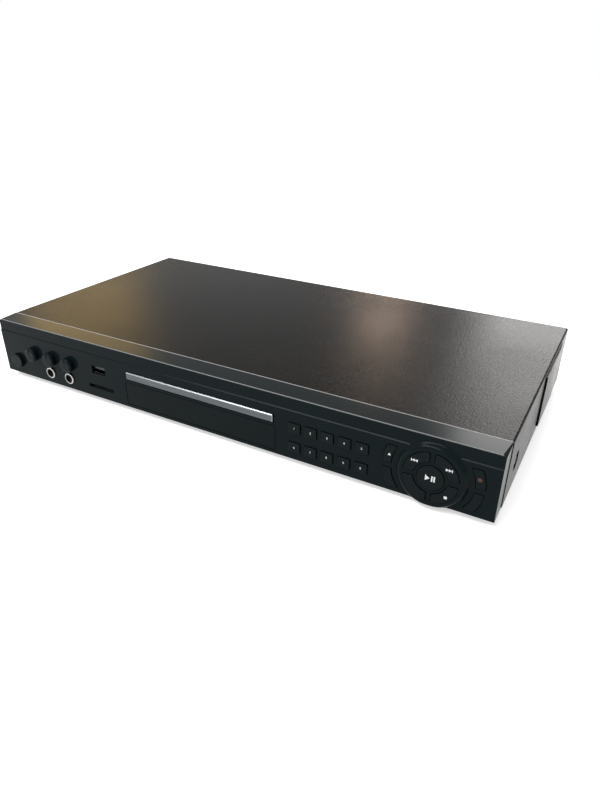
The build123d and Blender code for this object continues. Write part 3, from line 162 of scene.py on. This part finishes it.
def build_tone_group():
    """Slow colour drift, fine speckle and a roughness that wanders between two limits."""
    tree, into, out = group_tree(
        "finish_tone",
        {"Vector": ("NodeSocketVector", None), "Dark": ("NodeSocketColor", None),
         "Light": ("NodeSocketColor", None), "Drift Scale": ("NodeSocketFloat", 20.0),
         "Speckle Scale": ("NodeSocketFloat", 2500.0), "Speckle": ("NodeSocketFloat", 0.2),
         "Smooth": ("NodeSocketFloat", 0.3), "Rough": ("NodeSocketFloat", 0.5)},
        {"Color": "NodeSocketColor", "Roughness": "NodeSocketFloat"})
    vector = into.outputs["Vector"]
    drift = noise(tree, vector, into.outputs["Drift Scale"], 4.0, 0.55)
    speckle = noise(tree, vector, into.outputs["Speckle Scale"], 2.0, 0.7)
    speck = maths(tree, "MULTIPLY", maths(tree, "SUBTRACT", speckle, 0.5), into.outputs["Speckle"])
    share = maths(tree, "ADD", maths(tree, "MULTIPLY_ADD", drift, 1.8, -0.4), speck, clamp=True)
    colour = mix_colour(tree, share, into.outputs["Dark"], into.outputs["Light"])
    span = maths(tree, "SUBTRACT", into.outputs["Rough"], into.outputs["Smooth"])
    tree.links.new(colour, out.inputs["Color"])
    tree.links.new(maths(tree, "MULTIPLY_ADD", share, span, into.outputs["Smooth"]), out.inputs["Roughness"])
    return tree


def build_grain_group():
    """Height of an orange-peel or powder-coat grain: two sizes of bumps together."""
    tree, into, out = group_tree(
        "finish_grain",
        {"Vector": ("NodeSocketVector", None), "Scale": ("NodeSocketFloat", 1500.0),
         "Fine": ("NodeSocketFloat", 0.4)},
        {"Height": "NodeSocketFloat"})
    coarse = noise(tree, into.outputs["Vector"], into.outputs["Scale"], 2.0, 0.5)
    fine_scale = maths(tree, "MULTIPLY", into.outputs["Scale"], 2.7)
    fine = noise(tree, into.outputs["Vector"], fine_scale, 1.0, 0.5)
    tree.links.new(maths(tree, "MULTIPLY_ADD", fine, into.outputs["Fine"], coarse), out.inputs["Height"])
    return tree


def build_brushed_group():
    """Long scratches along X: a height, and a mask that is light where the metal is bright."""
    tree, into, out = group_tree(
        "finish_brushed",
        {"Vector": ("NodeSocketVector", None), "Across": ("NodeSocketFloat", 6000.0),
         "Along": ("NodeSocketFloat", 60.0)},
        {"Height": "NodeSocketFloat", "Mask": "NodeSocketFloat"})
    stretch = tree.nodes.new("ShaderNodeCombineXYZ")
    tree.links.new(into.outputs["Along"], stretch.inputs["X"])
    tree.links.new(into.outputs["Across"], stretch.inputs["Y"])
    tree.links.new(into.outputs["Across"], stretch.inputs["Z"])
    scaled = tree.nodes.new("ShaderNodeVectorMath")
    scaled.operation = "MULTIPLY"
    tree.links.new(into.outputs["Vector"], scaled.inputs[0])
    tree.links.new(stretch.outputs[0], scaled.inputs[1])
    lines = noise(tree, scaled.outputs[0], 1.0, 3.0, 0.7)
    tree.links.new(lines, out.inputs["Height"])
    tree.links.new(maths(tree, "MULTIPLY_ADD", lines, 2.2, -0.6, clamp=True), out.inputs["Mask"])
    return tree


def build_dust_group():
    """Fine dust that settles on faces that look up."""
    tree, into, out = group_tree(
        "finish_dust",
        {"Vector": ("NodeSocketVector", None), "Normal": ("NodeSocketVector", None),
         "Color": ("NodeSocketColor", None), "Dust": ("NodeSocketColor", None),
         "Amount": ("NodeSocketFloat", 0.05)},
        {"Color": "NodeSocketColor"})
    split = tree.nodes.new("ShaderNodeSeparateXYZ")
    tree.links.new(into.outputs["Normal"], split.inputs[0])
    upward = maths(tree, "MAXIMUM", split.outputs["Z"], 0.0)
    patches = noise(tree, into.outputs["Vector"], 55.0, 6.0, 0.75)
    specks = noise(tree, into.outputs["Vector"], 3800.0, 1.0, 0.5)
    fleck = maths(tree, "MULTIPLY_ADD", specks, 5.0, -2.9, clamp=True)
    share = maths(tree, "MULTIPLY", maths(tree, "MULTIPLY_ADD", fleck, 2.0, patches), into.outputs["Amount"])
    share = maths(tree, "MULTIPLY", share, upward, clamp=True)
    colour = mix_colour(tree, share, into.outputs["Color"], into.outputs["Dust"])
    tree.links.new(colour, out.inputs["Color"])
    return tree


TONE = build_tone_group()
GRAIN = build_grain_group()
BRUSHED = build_brushed_group()
DUST = build_dust_group()


def place_group(tree, group, vector, **values):
    """A group node in a material, with its own values."""
    node = tree.nodes.new("ShaderNodeGroup")
    node.node_tree = group
    tree.links.new(vector, node.inputs["Vector"])
    for label, value in values.items():
        socket = node.inputs[label.replace("_", " ")]
        socket.default_value = (*value, 1.0) if isinstance(value, tuple) else value
    return node


def new_material(name, metallic=0.0, coat=0.0, coat_rough=0.1, specular=0.5, transmission=0.0):
    """An empty principled material; returns it with its tree, shader and object coordinates."""
    material = bpy.data.materials.new(name)
    material.use_nodes = True
    tree = material.node_tree
    shader = tree.nodes["Principled BSDF"]
    shader.inputs["Metallic"].default_value = metallic
    shader.inputs["Specular IOR Level"].default_value = specular
    shader.inputs["Coat Weight"].default_value = coat
    shader.inputs["Coat Roughness"].default_value = coat_rough
    shader.inputs["Transmission Weight"].default_value = transmission
    place = tree.nodes.new("ShaderNodeTexCoord").outputs["Object"]
    return material, tree, shader, place


def bump(tree, shader, height, strength, distance, below=None):
    """Feeds a height to the shader's normal, on top of an earlier bump if one is given."""
    node = tree.nodes.new("ShaderNodeBump")
    node.inputs["Strength"].default_value = strength
    node.inputs["Distance"].default_value = distance
    tree.links.new(height, node.inputs["Height"])
    if below is not None:
        tree.links.new(below.outputs["Normal"], node.inputs["Normal"])
    tree.links.new(node.outputs["Normal"], shader.inputs["Normal"])
    return node


def axis_parts(tree, place):
    """The X, Y and Z of a place, as sockets."""
    split = tree.nodes.new("ShaderNodeSeparateXYZ")
    tree.links.new(place, split.inputs[0])
    return split.outputs["X"], split.outputs["Y"], split.outputs["Z"]


def distance_from(tree, value, middle):
    """How far a coordinate is from a middle, on either side."""
    return maths(tree, "ABSOLUTE", maths(tree, "SUBTRACT", value, middle))


def near_line(depth, height, reach):
    """A share that is 1 within reach of a line along X, and 0 elsewhere; it marks where an edge highlight is
    painted.
    """
    def share(tree, x, y, z):
        away = maths(tree, "ADD", distance_from(tree, y, depth), distance_from(tree, z, height))
        return maths(tree, "LESS_THAN", away, reach)
    return share


def rim_of(low, high, width):
    """A share that is 1 on the rim of a front plate, and 0 inside it; it marks where a bevel highlight is
    painted.
    """
    middle = (low + high) / 2
    half = (high - low) / 2

    def share(tree, x, y, z):
        across = maths(tree, "SUBTRACT", distance_from(tree, x, middle.x), half.x - width)
        upward = maths(tree, "SUBTRACT", distance_from(tree, z, middle.z), half.z - width)
        return maths(tree, "GREATER_THAN", maths(tree, "MAXIMUM", across, upward), 0.0)
    return share


def bright_edge(tree, place, colour, edge, bright):
    """A colour with a painted highlight on an edge: lighter where the edge would catch a lamp."""
    return mix_colour(tree, edge(tree, *axis_parts(tree, place)), colour, bright)


def finish(name, dark, light, smooth, rough, drift=20.0, speckle=0.25, speckle_scale=2500.0, grain=1500.0,
           grain_depth=0.02 * MM, grain_strength=0.3, dust=0.0, edge=None, bright=EDGE_HIGHLIGHT_TONE,
           flat_sides=0.0, **shader_values):
    """A solid finish: two tones, a wandering roughness and a grain.

    Dust lies on upward faces, an edge may get a painted highlight, and flat_sides is the grain's strength on
    upright faces.
    """
    material, tree, shader, place = new_material(name, **shader_values)
    tone = place_group(tree, TONE, place, Dark=dark, Light=light, Drift_Scale=drift, Speckle=speckle,
                       Speckle_Scale=speckle_scale, Smooth=smooth, Rough=rough)
    colour = tone.outputs["Color"]
    if dust:
        geometry = tree.nodes.new("ShaderNodeNewGeometry")
        dusty = place_group(tree, DUST, place, Dust=DUST_TONE, Amount=dust)
        tree.links.new(geometry.outputs["Normal"], dusty.inputs["Normal"])
        tree.links.new(colour, dusty.inputs["Color"])
        colour = dusty.outputs["Color"]
    # Painted highlight: the edge's colour is lightened where a lamp would catch it.
    if edge:
        colour = bright_edge(tree, place, colour, edge, bright)
    tree.links.new(colour, shader.inputs["Base Color"])
    tree.links.new(tone.outputs["Roughness"], shader.inputs["Roughness"])
    height = place_group(tree, GRAIN, place, Scale=grain)
    relief = bump(tree, shader, height.outputs["Height"], grain_strength, grain_depth)
    if flat_sides:
        normal = tree.nodes.new("ShaderNodeNewGeometry").outputs["Normal"]
        upward = maths(tree, "ABSOLUTE", axis_parts(tree, normal)[2])
        share = maths(tree, "MULTIPLY_ADD", upward, grain_strength - flat_sides, flat_sides)
        tree.links.new(share, relief.inputs["Strength"])
    return material


def brushed_metal(name, dark, light, smooth, rough, across=6000.0, along=60.0, strength=0.25, edge=None,
                  bright=None):
    """Bare metal with fine scratches along X, and a painted highlight on an edge where one is given."""
    material, tree, shader, place = new_material(name, metallic=1.0)
    lines = place_group(tree, BRUSHED, place, Across=across, Along=along)
    colour = mix_colour(tree, lines.outputs["Mask"], dark, light)
    # Painted highlight: the edge's colour is lightened where a lamp would catch it.
    if edge:
        colour = bright_edge(tree, place, colour, edge, bright)
    tree.links.new(colour, shader.inputs["Base Color"])
    span = maths(tree, "MULTIPLY_ADD", lines.outputs["Mask"], smooth - rough, rough)
    tree.links.new(span, shader.inputs["Roughness"])
    bump(tree, shader, lines.outputs["Height"], strength, 0.01 * MM)
    return material


def zinc_sheet(name, dark, light):
    """Galvanised sheet: crystal-like spangles of slightly different grey and gloss."""
    material, tree, shader, place = new_material(name, metallic=1.0)
    cells = tree.nodes.new("ShaderNodeTexVoronoi")
    cells.inputs["Scale"].default_value = 210.0
    warp = noise(tree, place, 90.0)
    tree.links.new(place, cells.inputs["Vector"])
    split = tree.nodes.new("ShaderNodeSeparateColor")
    tree.links.new(cells.outputs["Color"], split.inputs[0])
    share = maths(tree, "MULTIPLY_ADD", warp, 0.5, maths(tree, "MULTIPLY", split.outputs[0], 0.5))
    tree.links.new(mix_colour(tree, share, dark, light), shader.inputs["Base Color"])
    tree.links.new(maths(tree, "MULTIPLY_ADD", split.outputs[1], 0.16, 0.3), shader.inputs["Roughness"])
    height = place_group(tree, GRAIN, place, Scale=2200.0)
    bump(tree, shader, height.outputs["Height"], 0.15, 0.01 * MM)
    return material


def circuit_board(name, axis, plane_low, plane_high, solder_mask):
    """Solder mask with tracks on the board itself; the parts on it get tones of their own."""
    material, tree, shader, place = new_material(name)
    height = axis_parts(tree, place)["XYZ".index(axis)]
    above_low = maths(tree, "GREATER_THAN", height, plane_low - BOARD_MARGIN)
    below_high = maths(tree, "LESS_THAN", height, plane_high + BOARD_MARGIN)
    on_board = maths(tree, "MULTIPLY", above_low, below_high)
    bricks = tree.nodes.new("ShaderNodeTexVoronoi")
    bricks.distance = "MANHATTAN"
    bricks.feature = "F1"
    bricks.inputs["Scale"].default_value = 260.0
    tree.links.new(place, bricks.inputs["Vector"])
    rings = maths(tree, "SINE", maths(tree, "MULTIPLY", bricks.outputs["Distance"], 16.0))
    tracks = maths(tree, "GREATER_THAN", rings, 0.55)
    board_colour = mix_colour(tree, tracks, solder_mask, tuple(1.7 * c for c in solder_mask))
    lots = tree.nodes.new("ShaderNodeTexVoronoi")
    lots.inputs["Scale"].default_value = 70.0
    tree.links.new(place, lots.inputs["Vector"])
    pick = tree.nodes.new("ShaderNodeSeparateColor")
    tree.links.new(lots.outputs["Color"], pick.inputs[0])
    pale = maths(tree, "GREATER_THAN", pick.outputs[0], 0.6)
    part_colour = mix_colour(tree, pale, DARK_PART, PALE_PART)
    colour = mix_colour(tree, on_board, part_colour, board_colour)
    tree.links.new(colour, shader.inputs["Base Color"])
    tree.links.new(maths(tree, "MULTIPLY_ADD", on_board, -0.18, 0.48), shader.inputs["Roughness"])
    bump(tree, shader, tracks, 0.3, 0.02 * MM)
    return material


def ink(name, colour):
    """Screen-printed ink: nearly even, with slightly thin spots."""
    return finish(name, tuple(0.8 * c for c in colour), colour, 0.45, 0.6, drift=700.0, speckle=0.5,
                  speckle_scale=9000.0, grain=7000.0, grain_strength=0.15)


def smoked_window(name):
    """Dark polished plastic, hazier in faint wipe marks."""
    material, tree, shader, place = new_material(name, specular=0.055)
    shade = noise(tree, place, 14.0, 5.0, 0.6)
    tree.links.new(mix_colour(tree, shade, *WINDOW_TONES), shader.inputs["Base Color"])
    wipe = place_group(tree, BRUSHED, place, Across=900.0, Along=30.0)
    tree.links.new(maths(tree, "MULTIPLY_ADD", wipe.outputs["Mask"], 0.05, 0.09), shader.inputs["Roughness"])
    bump(tree, shader, shade, 0.04, 0.02 * MM)
    return material


def plated_part(name, share_of):
    """Nickel where the share is 1 and dark moulding where it is 0, in one node."""
    material, tree, shader, place = new_material(name)
    share = share_of(tree, *axis_parts(tree, place))
    dark, light = MOULDING_TONES
    tone = place_group(tree, TONE, place, Dark=dark, Light=light, Drift_Scale=60.0, Smooth=0.42, Rough=0.56)
    lines = place_group(tree, BRUSHED, place, Across=2500.0, Along=900.0)
    nickel = mix_colour(tree, lines.outputs["Mask"], *PLATING_TONES)
    tree.links.new(mix_colour(tree, share, tone.outputs["Color"], nickel), shader.inputs["Base Color"])
    tree.links.new(share, shader.inputs["Metallic"])
    tree.links.new(maths(tree, "MULTIPLY_ADD", share, -0.33, 0.48), shader.inputs["Roughness"])
    bump(tree, shader, lines.outputs["Height"], 0.08, 0.01 * MM)
    return material


def in_front_of(depth):
    """A share that is 1 in front of a depth along Y."""
    return lambda tree, x, y, z: maths(tree, "LESS_THAN", y, depth)


def outside_tongue(node):
    """A share that is 0 on the tongue inside a plug socket's shell."""
    low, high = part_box(node)
    middle = (low + high) / 2
    half = (high.x - low.x) / 2 - TONGUE_SIDE

    def share(tree, x, y, z):
        across = maths(tree, "LESS_THAN", distance_from(tree, x, middle.x), half)
        above = maths(tree, "GREATER_THAN", z, middle.z - TONGUE_BELOW)
        below = maths(tree, "LESS_THAN", z, high.z - TONGUE_ABOVE)
        inside = maths(tree, "MULTIPLY", across, maths(tree, "MULTIPLY", above, below))
        return maths(tree, "SUBTRACT", 1.0, inside)
    return share


def phono_block(name, node):
    """Six phono sockets: nickel shells outside the panel, each with an insert of its column's colour."""
    low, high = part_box(node)
    material, tree, shader, place = new_material(name)
    x, y, z = axis_parts(tree, place)
    wide, tall = PHONO_PITCH
    along = maths(tree, "SUBTRACT", x, (low.x + high.x) / 2)
    dx = maths(tree, "WRAP", along, wide / 2, -wide / 2)
    dz = maths(tree, "WRAP", maths(tree, "SUBTRACT", z, low.z + PHONO_LOW), tall / 2, -tall / 2)
    squares = maths(tree, "ADD", maths(tree, "MULTIPLY", dx, dx), maths(tree, "MULTIPLY", dz, dz))
    from_axis = maths(tree, "SQRT", squares)
    outside = maths(tree, "GREATER_THAN", y, rear - PHONO_PROUD)
    insert = maths(tree, "LESS_THAN", from_axis, PHONO_INSERT)
    shell = maths(tree, "MULTIPLY", outside, maths(tree, "SUBTRACT", 1.0, insert))
    left, middle, right = PHONO_COLOURS
    colour = mix_colour(tree, maths(tree, "GREATER_THAN", along, -wide / 2), left, middle)
    colour = mix_colour(tree, maths(tree, "GREATER_THAN", along, wide / 2), colour, right)
    colour = mix_colour(tree, maths(tree, "MULTIPLY", outside, insert), PHONO_BODY, colour)
    tree.links.new(mix_colour(tree, shell, colour, PHONO_SHELL), shader.inputs["Base Color"])
    tree.links.new(shell, shader.inputs["Metallic"])
    tree.links.new(maths(tree, "MULTIPLY_ADD", shell, -0.26, 0.42), shader.inputs["Roughness"])
    height = place_group(tree, GRAIN, place, Scale=2600.0)
    bump(tree, shader, height.outputs["Height"], 0.15, 0.01 * MM)
    return material


MATERIALS = {
    # cover_paint: painted highlight along the cover's folded front edge, standing in for a lamp catching the
    # fold.
    "cover_paint": finish(
        "cover_paint", (0.0030, 0.0028, 0.0026), (0.0075, 0.0070, 0.0064), 0.15, 0.30, drift=9.0, speckle=1.6,
        speckle_scale=700.0, grain=620.0, grain_depth=0.16 * MM, grain_strength=1.0, dust=0.002,
        specular=0.030, flat_sides=0.12, edge=near_line(seam, top, 0.9 * MM), bright=(0.40, 0.40, 0.39)),
    # front_plastic: painted highlight along the bezel's rounded upper front edge.
    "front_plastic": finish(
        "front_plastic", (0.0030, 0.0064, 0.0076), (0.0046, 0.0092, 0.0106), 0.16, 0.24, drift=12.0,
        speckle=0.3, grain=2600.0, grain_strength=0.08, dust=0.002, specular=0.05,
        edge=near_line(face + BAND_SETBACK, top, 0.5 * MM), bright=(0.20, 0.205, 0.205)),
    "key_plastic": finish(
        "key_plastic", (0.0026, 0.0056, 0.0066), (0.0042, 0.0082, 0.0094), 0.18, 0.28, drift=60.0,
        speckle=0.3, grain=3000.0, grain_strength=0.10, dust=0.002, specular=0.07),
    "window_plastic": smoked_window("window_plastic"),
    # fascia_metal: painted highlight around the rim, standing in for light on the tray door's bevels.
    "fascia_metal": brushed_metal(
        "fascia_metal", (0.062, 0.072, 0.075), (0.125, 0.140, 0.143), 0.24, 0.38, strength=0.3,
        edge=rim_of(fascia_low, fascia_high, 0.6 * MM), bright=(0.20, 0.212, 0.218)),
    "plain_steel": zinc_sheet("plain_steel", (0.24, 0.25, 0.26), (0.40, 0.41, 0.42)),
    "bright_nickel": brushed_metal(
        "bright_nickel", (0.36, 0.36, 0.355), (0.60, 0.60, 0.59), 0.12, 0.24, across=2500.0, along=900.0,
        strength=0.08),
    "motor_steel": brushed_metal(
        "motor_steel", (0.42, 0.42, 0.42), (0.62, 0.62, 0.61), 0.22, 0.36, across=3000.0, along=500.0,
        strength=0.1),
    "screw_steel": finish(
        "screw_steel", (0.05, 0.05, 0.052), (0.11, 0.11, 0.115), 0.30, 0.46, drift=300.0, grain=4000.0,
        metallic=1.0),
    "foot_rubber": finish(
        "foot_rubber", (0.010, 0.010, 0.010), (0.022, 0.021, 0.020), 0.68, 0.85, drift=80.0, grain=2400.0,
        grain_strength=0.6, dust=0.2),
    "socket_plastic": finish(
        "socket_plastic", (0.010, 0.010, 0.010), (0.020, 0.020, 0.020), 0.42, 0.56, drift=60.0, grain=2400.0,
        grain_strength=0.4),
    "tray_plastic": finish(
        "tray_plastic", (0.009, 0.010, 0.010), (0.018, 0.019, 0.019), 0.44, 0.56, drift=18.0, grain=1900.0,
        grain_strength=0.45, dust=0.02),
    "gear_plastic": finish(
        "gear_plastic", (0.60, 0.58, 0.51), (0.72, 0.70, 0.63), 0.34, 0.46, drift=50.0, grain=1800.0,
        grain_strength=0.12),
    "display_glass": finish(
        "display_glass", (0.012, 0.020, 0.020), (0.03, 0.05, 0.048), 0.05, 0.10, drift=40.0, grain=900.0,
        grain_strength=0.03, coat=0.6),
    "lamp_lens": finish(
        "lamp_lens", (0.045, 0.012, 0.005), (0.085, 0.026, 0.010), 0.18, 0.26, drift=400.0, grain=4000.0,
        grain_strength=0.05, specular=0.3),
    "legend_ink": ink("legend_ink", (0.80, 0.81, 0.80)),
}


def board_material(node, axis):
    """The circuit-board finish fitted to one node, from where its bare board lies."""
    low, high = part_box(node)
    index = "XYZ".index(axis)
    if axis == "Z":
        return circuit_board(f"{node}_finish", axis, low[index], low[index] + BOARD_THICK, GREEN_MASK)
    return circuit_board(f"{node}_finish", axis, high[index] - BOARD_THICK, high[index], BROWN_MASK)


BOARD_NODES = {"main_board": "Z", "power_board": "Z", "mic_board": "Y", "key_board": "Y"}
KEY_NODES = [name for name in frame["nodes"] if name not in BOARD_NODES
             and (name.endswith("_button") or name.startswith(("key_", "level_knob_")))]
OWN_FINISH = {
    "mic_jacks": plated_part("jack_bushes", in_front_of(face)),
    "usb_socket": plated_part("usb_shell", outside_tongue("usb_socket")),
    "rca_jacks": phono_block("phono_sockets", "rca_jacks"),
}


def dress_frame():
    """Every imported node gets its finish, chosen by its material slot or by what it is."""
    slots = {part["node"]: part["material_slot"] for part in frame["record"]["subparts"]}
    for name, piece in frame["nodes"].items():
        if name in KEY_NODES:
            material = MATERIALS["key_plastic"]
        elif name in BOARD_NODES:
            material = board_material(name, BOARD_NODES[name])
        elif name in OWN_FINISH:
            material = OWN_FINISH[name]
        else:
            material = MATERIALS[slots[name]]
        piece.data.materials.clear()
        piece.data.materials.append(material)


dress_frame()


# ---- Mesh helpers ----
def piece_from(name, built, body, material):
    """A finished piece from a bmesh: normals outward, riding on its body."""
    bmesh.ops.recalc_face_normals(built, faces=built.faces)
    mesh = bpy.data.meshes.new(name)
    built.to_mesh(mesh)
    built.free()
    piece = bpy.data.objects.new(name, mesh)
    bpy.context.scene.collection.objects.link(piece)
    piece.data.materials.append(material)
    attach(piece, body)
    return piece


def add_plate(built, outline, front):
    """A thin raised plate from X and Z points, standing on a face that looks towards -Y."""
    back = [built.verts.new((x, front + INK_THICK, z)) for x, z in outline]
    face = [built.verts.new((x, front, z)) for x, z in outline]
    built.faces.new(face)
    built.faces.new(back[::-1])
    count = len(outline)
    for i in range(count):
        j = (i + 1) % count
        built.faces.new((face[i], back[i], back[j], face[j]))


# ---- Printed marks ----
def mark_box(x, z, width, height):
    """The four corners of a rectangle about a centre."""
    return [(x - width / 2, z - height / 2), (x + width / 2, z - height / 2),
            (x + width / 2, z + height / 2), (x - width / 2, z + height / 2)]


def mark_triangle(x, z, width, height, direction):
    """A triangle pointing right (1), left (-1) or up (0)."""
    low = z - height / 2
    high = z + height / 2
    if direction == 0:
        return [(x - width / 2, low), (x + width / 2, low), (x, high)]
    tip = x + direction * width / 2
    base = x - direction * width / 2
    return [(base, low), (tip, z), (base, high)]


def printed_marks():
    """Transport marks: one piece for each control, riding with it."""
    small, tall, reach = MARK_SMALL, MARK_TALL, MARK_REACH
    marks = {
        "play_button": ((0, 0), [
            (-1.7, "right", 2.9 * MM, tall), (1.15, "bar", 0.95 * MM, tall), (2.65, "bar", 0.95 * MM, tall)]),
        "previous_button": ((-reach, 9.8 * MM), [
            (-1.95, "bar", 0.5 * MM, small), (-0.75, "left", small, small), (1.1, "left", small, small)]),
        "next_button": ((reach, 9.4 * MM), [
            (1.95, "bar", 0.5 * MM, small), (0.75, "right", small, small), (-1.1, "right", small, small)]),
        "stop_button": ((reach, -10.5 * MM), [(0, "bar", small, small)]),
        "eject_button": (None, [(0, "up", 2.1 * MM, 1.7 * MM)]),
    }
    for node, (spot, shapes) in marks.items():
        x, z = centre_of(node) if spot is None else (pad_x + spot[0], pad_z + spot[1])
        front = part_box(node)[0].y - INK_PROUD
        built = bmesh.new()
        for dx, kind, width, height in shapes:
            if kind == "bar":
                outline = mark_box(x + dx * MM, z, width, height)
            else:
                outline = mark_triangle(x + dx * MM, z, width, height, MARK_DIRECTIONS[kind])
            add_plate(built, outline, front)
        piece_from(f"mark_{node}", built, node, MATERIALS["legend_ink"])


def printed_digit(node, text):
    """A digit printed on a key, riding with it."""
    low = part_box(node)[0]
    curve = bpy.data.curves.new(f"digit_{node}", "FONT")
    curve.body = text
    curve.size = FONT_SIZE
    curve.align_x = "CENTER"
    curve.align_y = "CENTER"
    curve.extrude = INK_THICK / 2
    curve.resolution_u = 4
    source = bpy.data.objects.new(f"digit_source_{node}", curve)
    bpy.context.scene.collection.objects.link(source)
    bpy.context.view_layer.update()
    evaluated = source.evaluated_get(bpy.context.evaluated_depsgraph_get())
    mesh = bpy.data.meshes.new_from_object(evaluated)
    bpy.data.objects.remove(source)
    x, z = centre_of(node)
    upright = Matrix.Rotation(math.radians(90), 4, "X")
    mesh.transform(Matrix.Translation((x, low.y - INK_PROUD + INK_THICK / 2, z)) @ upright)
    mesh.name = f"digit_{text}"
    piece = bpy.data.objects.new(f"digit_{text}", mesh)
    bpy.context.scene.collection.objects.link(piece)
    mesh.materials.clear()
    mesh.materials.append(MATERIALS["legend_ink"])
    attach(piece, node)


printed_marks()
for number in range(10):
    printed_digit(f"key_{number}", str(number))


# ---- Floor, light and camera ----
ROOM_LIGHT = 0.5
FLOOR_GLOW = 0.55
FLOOR_REACH = 14.0
FLOOR_DROP = 0.2 * MM
WHITE = (1.0, 1.0, 1.0, 1.0)
# Each lamp: place, what it points at, width and height, watts, colour.
LAMPS = {
    "front_left": ((-0.38, -0.85, 1.20), (0.0, 0.0, 0.03), (1.3, 0.34), 18.0, (1.0, 1.0, 1.0)),
    "rear_right": ((0.06, 1.50, 0.90), (0.15, 0.0, 0.05), (0.44, 0.95), 16.5, (1.0, 0.98, 0.96)),
    "rear_middle": ((-0.48, 1.50, 0.60), (0.05, 0.0, 0.05), (0.14, 0.20), 1.4, (1.0, 0.72, 0.53)),
    "rear_left": ((-1.50, 1.10, 0.68), (-0.1, 0.0, 0.05), (0.4, 0.5), 2.2, (1.0, 0.62, 0.13)),
}


def seen_straight(tree):
    """1 where the camera, a mirror or a window looks at the surface, 0 where it only lights."""
    rays = tree.nodes.new("ShaderNodeLightPath")
    mirrored = maths(tree, "MAXIMUM", rays.outputs["Is Glossy Ray"], rays.outputs["Is Transmission Ray"])
    return maths(tree, "MAXIMUM", rays.outputs["Is Camera Ray"], mirrored)


def studio():
    """White floor and a white room."""
    built = bmesh.new()
    corners = ((-1, -1), (1, -1), (1, 1), (-1, 1))
    built.faces.new([built.verts.new((x * FLOOR_REACH, y * FLOOR_REACH, -FLOOR_DROP)) for x, y in corners])
    mesh = bpy.data.meshes.new("floor")
    built.to_mesh(mesh)
    built.free()
    floor = bpy.data.objects.new("floor", mesh)
    bpy.context.scene.collection.objects.link(floor)
    material = bpy.data.materials.new("floor_white")
    material.use_nodes = True
    tree = material.node_tree
    shader = tree.nodes["Principled BSDF"]
    shader.inputs["Base Color"].default_value = (0.90, 0.90, 0.90, 1.0)
    shader.inputs["Roughness"].default_value = 0.9
    shader.inputs["Emission Color"].default_value = WHITE
    glow = maths(tree, "MULTIPLY", seen_straight(tree), FLOOR_GLOW)
    tree.links.new(glow, shader.inputs["Emission Strength"])
    mesh.materials.append(material)

    world = bpy.data.worlds.new("room")
    bpy.context.scene.world = world
    world.use_nodes = True
    tree = world.node_tree
    background = tree.nodes["Background"]
    background.inputs["Color"].default_value = WHITE
    strength = maths(tree, "MULTIPLY_ADD", seen_straight(tree), 1.0 - ROOM_LIGHT, ROOM_LIGHT)
    tree.links.new(strength, background.inputs["Strength"])


def lamp(name, place, aim, size, power, colour):
    """A soft rectangular lamp that points at a place."""
    data = bpy.data.lights.new(name, "AREA")
    data.shape = "RECTANGLE"
    data.size, data.size_y = size
    data.energy = power
    data.color = colour
    light = bpy.data.objects.new(name, data)
    light.location = place
    light.rotation_mode = "QUATERNION"
    light.rotation_quaternion = (Vector(aim) - Vector(place)).to_track_quat("-Z", "Y")
    bpy.context.scene.collection.objects.link(light)


def camera():
    """The camera, from its place, its angles and its lens."""
    azimuth = math.radians(CAMERA_AZIMUTH)
    elevation = math.radians(CAMERA_ELEVATION)
    roll = math.radians(CAMERA_ROLL)
    back = Vector((math.sin(azimuth) * math.cos(elevation), -math.cos(azimuth) * math.cos(elevation),
                   math.sin(elevation)))
    right = (-back).cross(Vector((0, 0, 1))).normalized()
    up = right.cross(-back)
    turned_right = right * math.cos(roll) + up * math.sin(roll)
    turned_up = up * math.cos(roll) - right * math.sin(roll)
    data = bpy.data.cameras.new("camera")
    data.lens = CAMERA_LENS
    data.sensor_width = SENSOR
    data.sensor_fit = "AUTO"
    data.clip_start, data.clip_end = 0.01, 30.0
    view = bpy.data.objects.new("camera", data)
    basis = Matrix((turned_right, turned_up, back)).transposed().to_4x4()
    view.matrix_world = Matrix.Translation(CAMERA_AT) @ basis
    bpy.context.scene.collection.objects.link(view)
    bpy.context.scene.camera = view


studio()
for lamp_name, settings in LAMPS.items():
    lamp(lamp_name, *settings)
camera()

bpy.context.scene.view_settings.view_transform = "Standard"
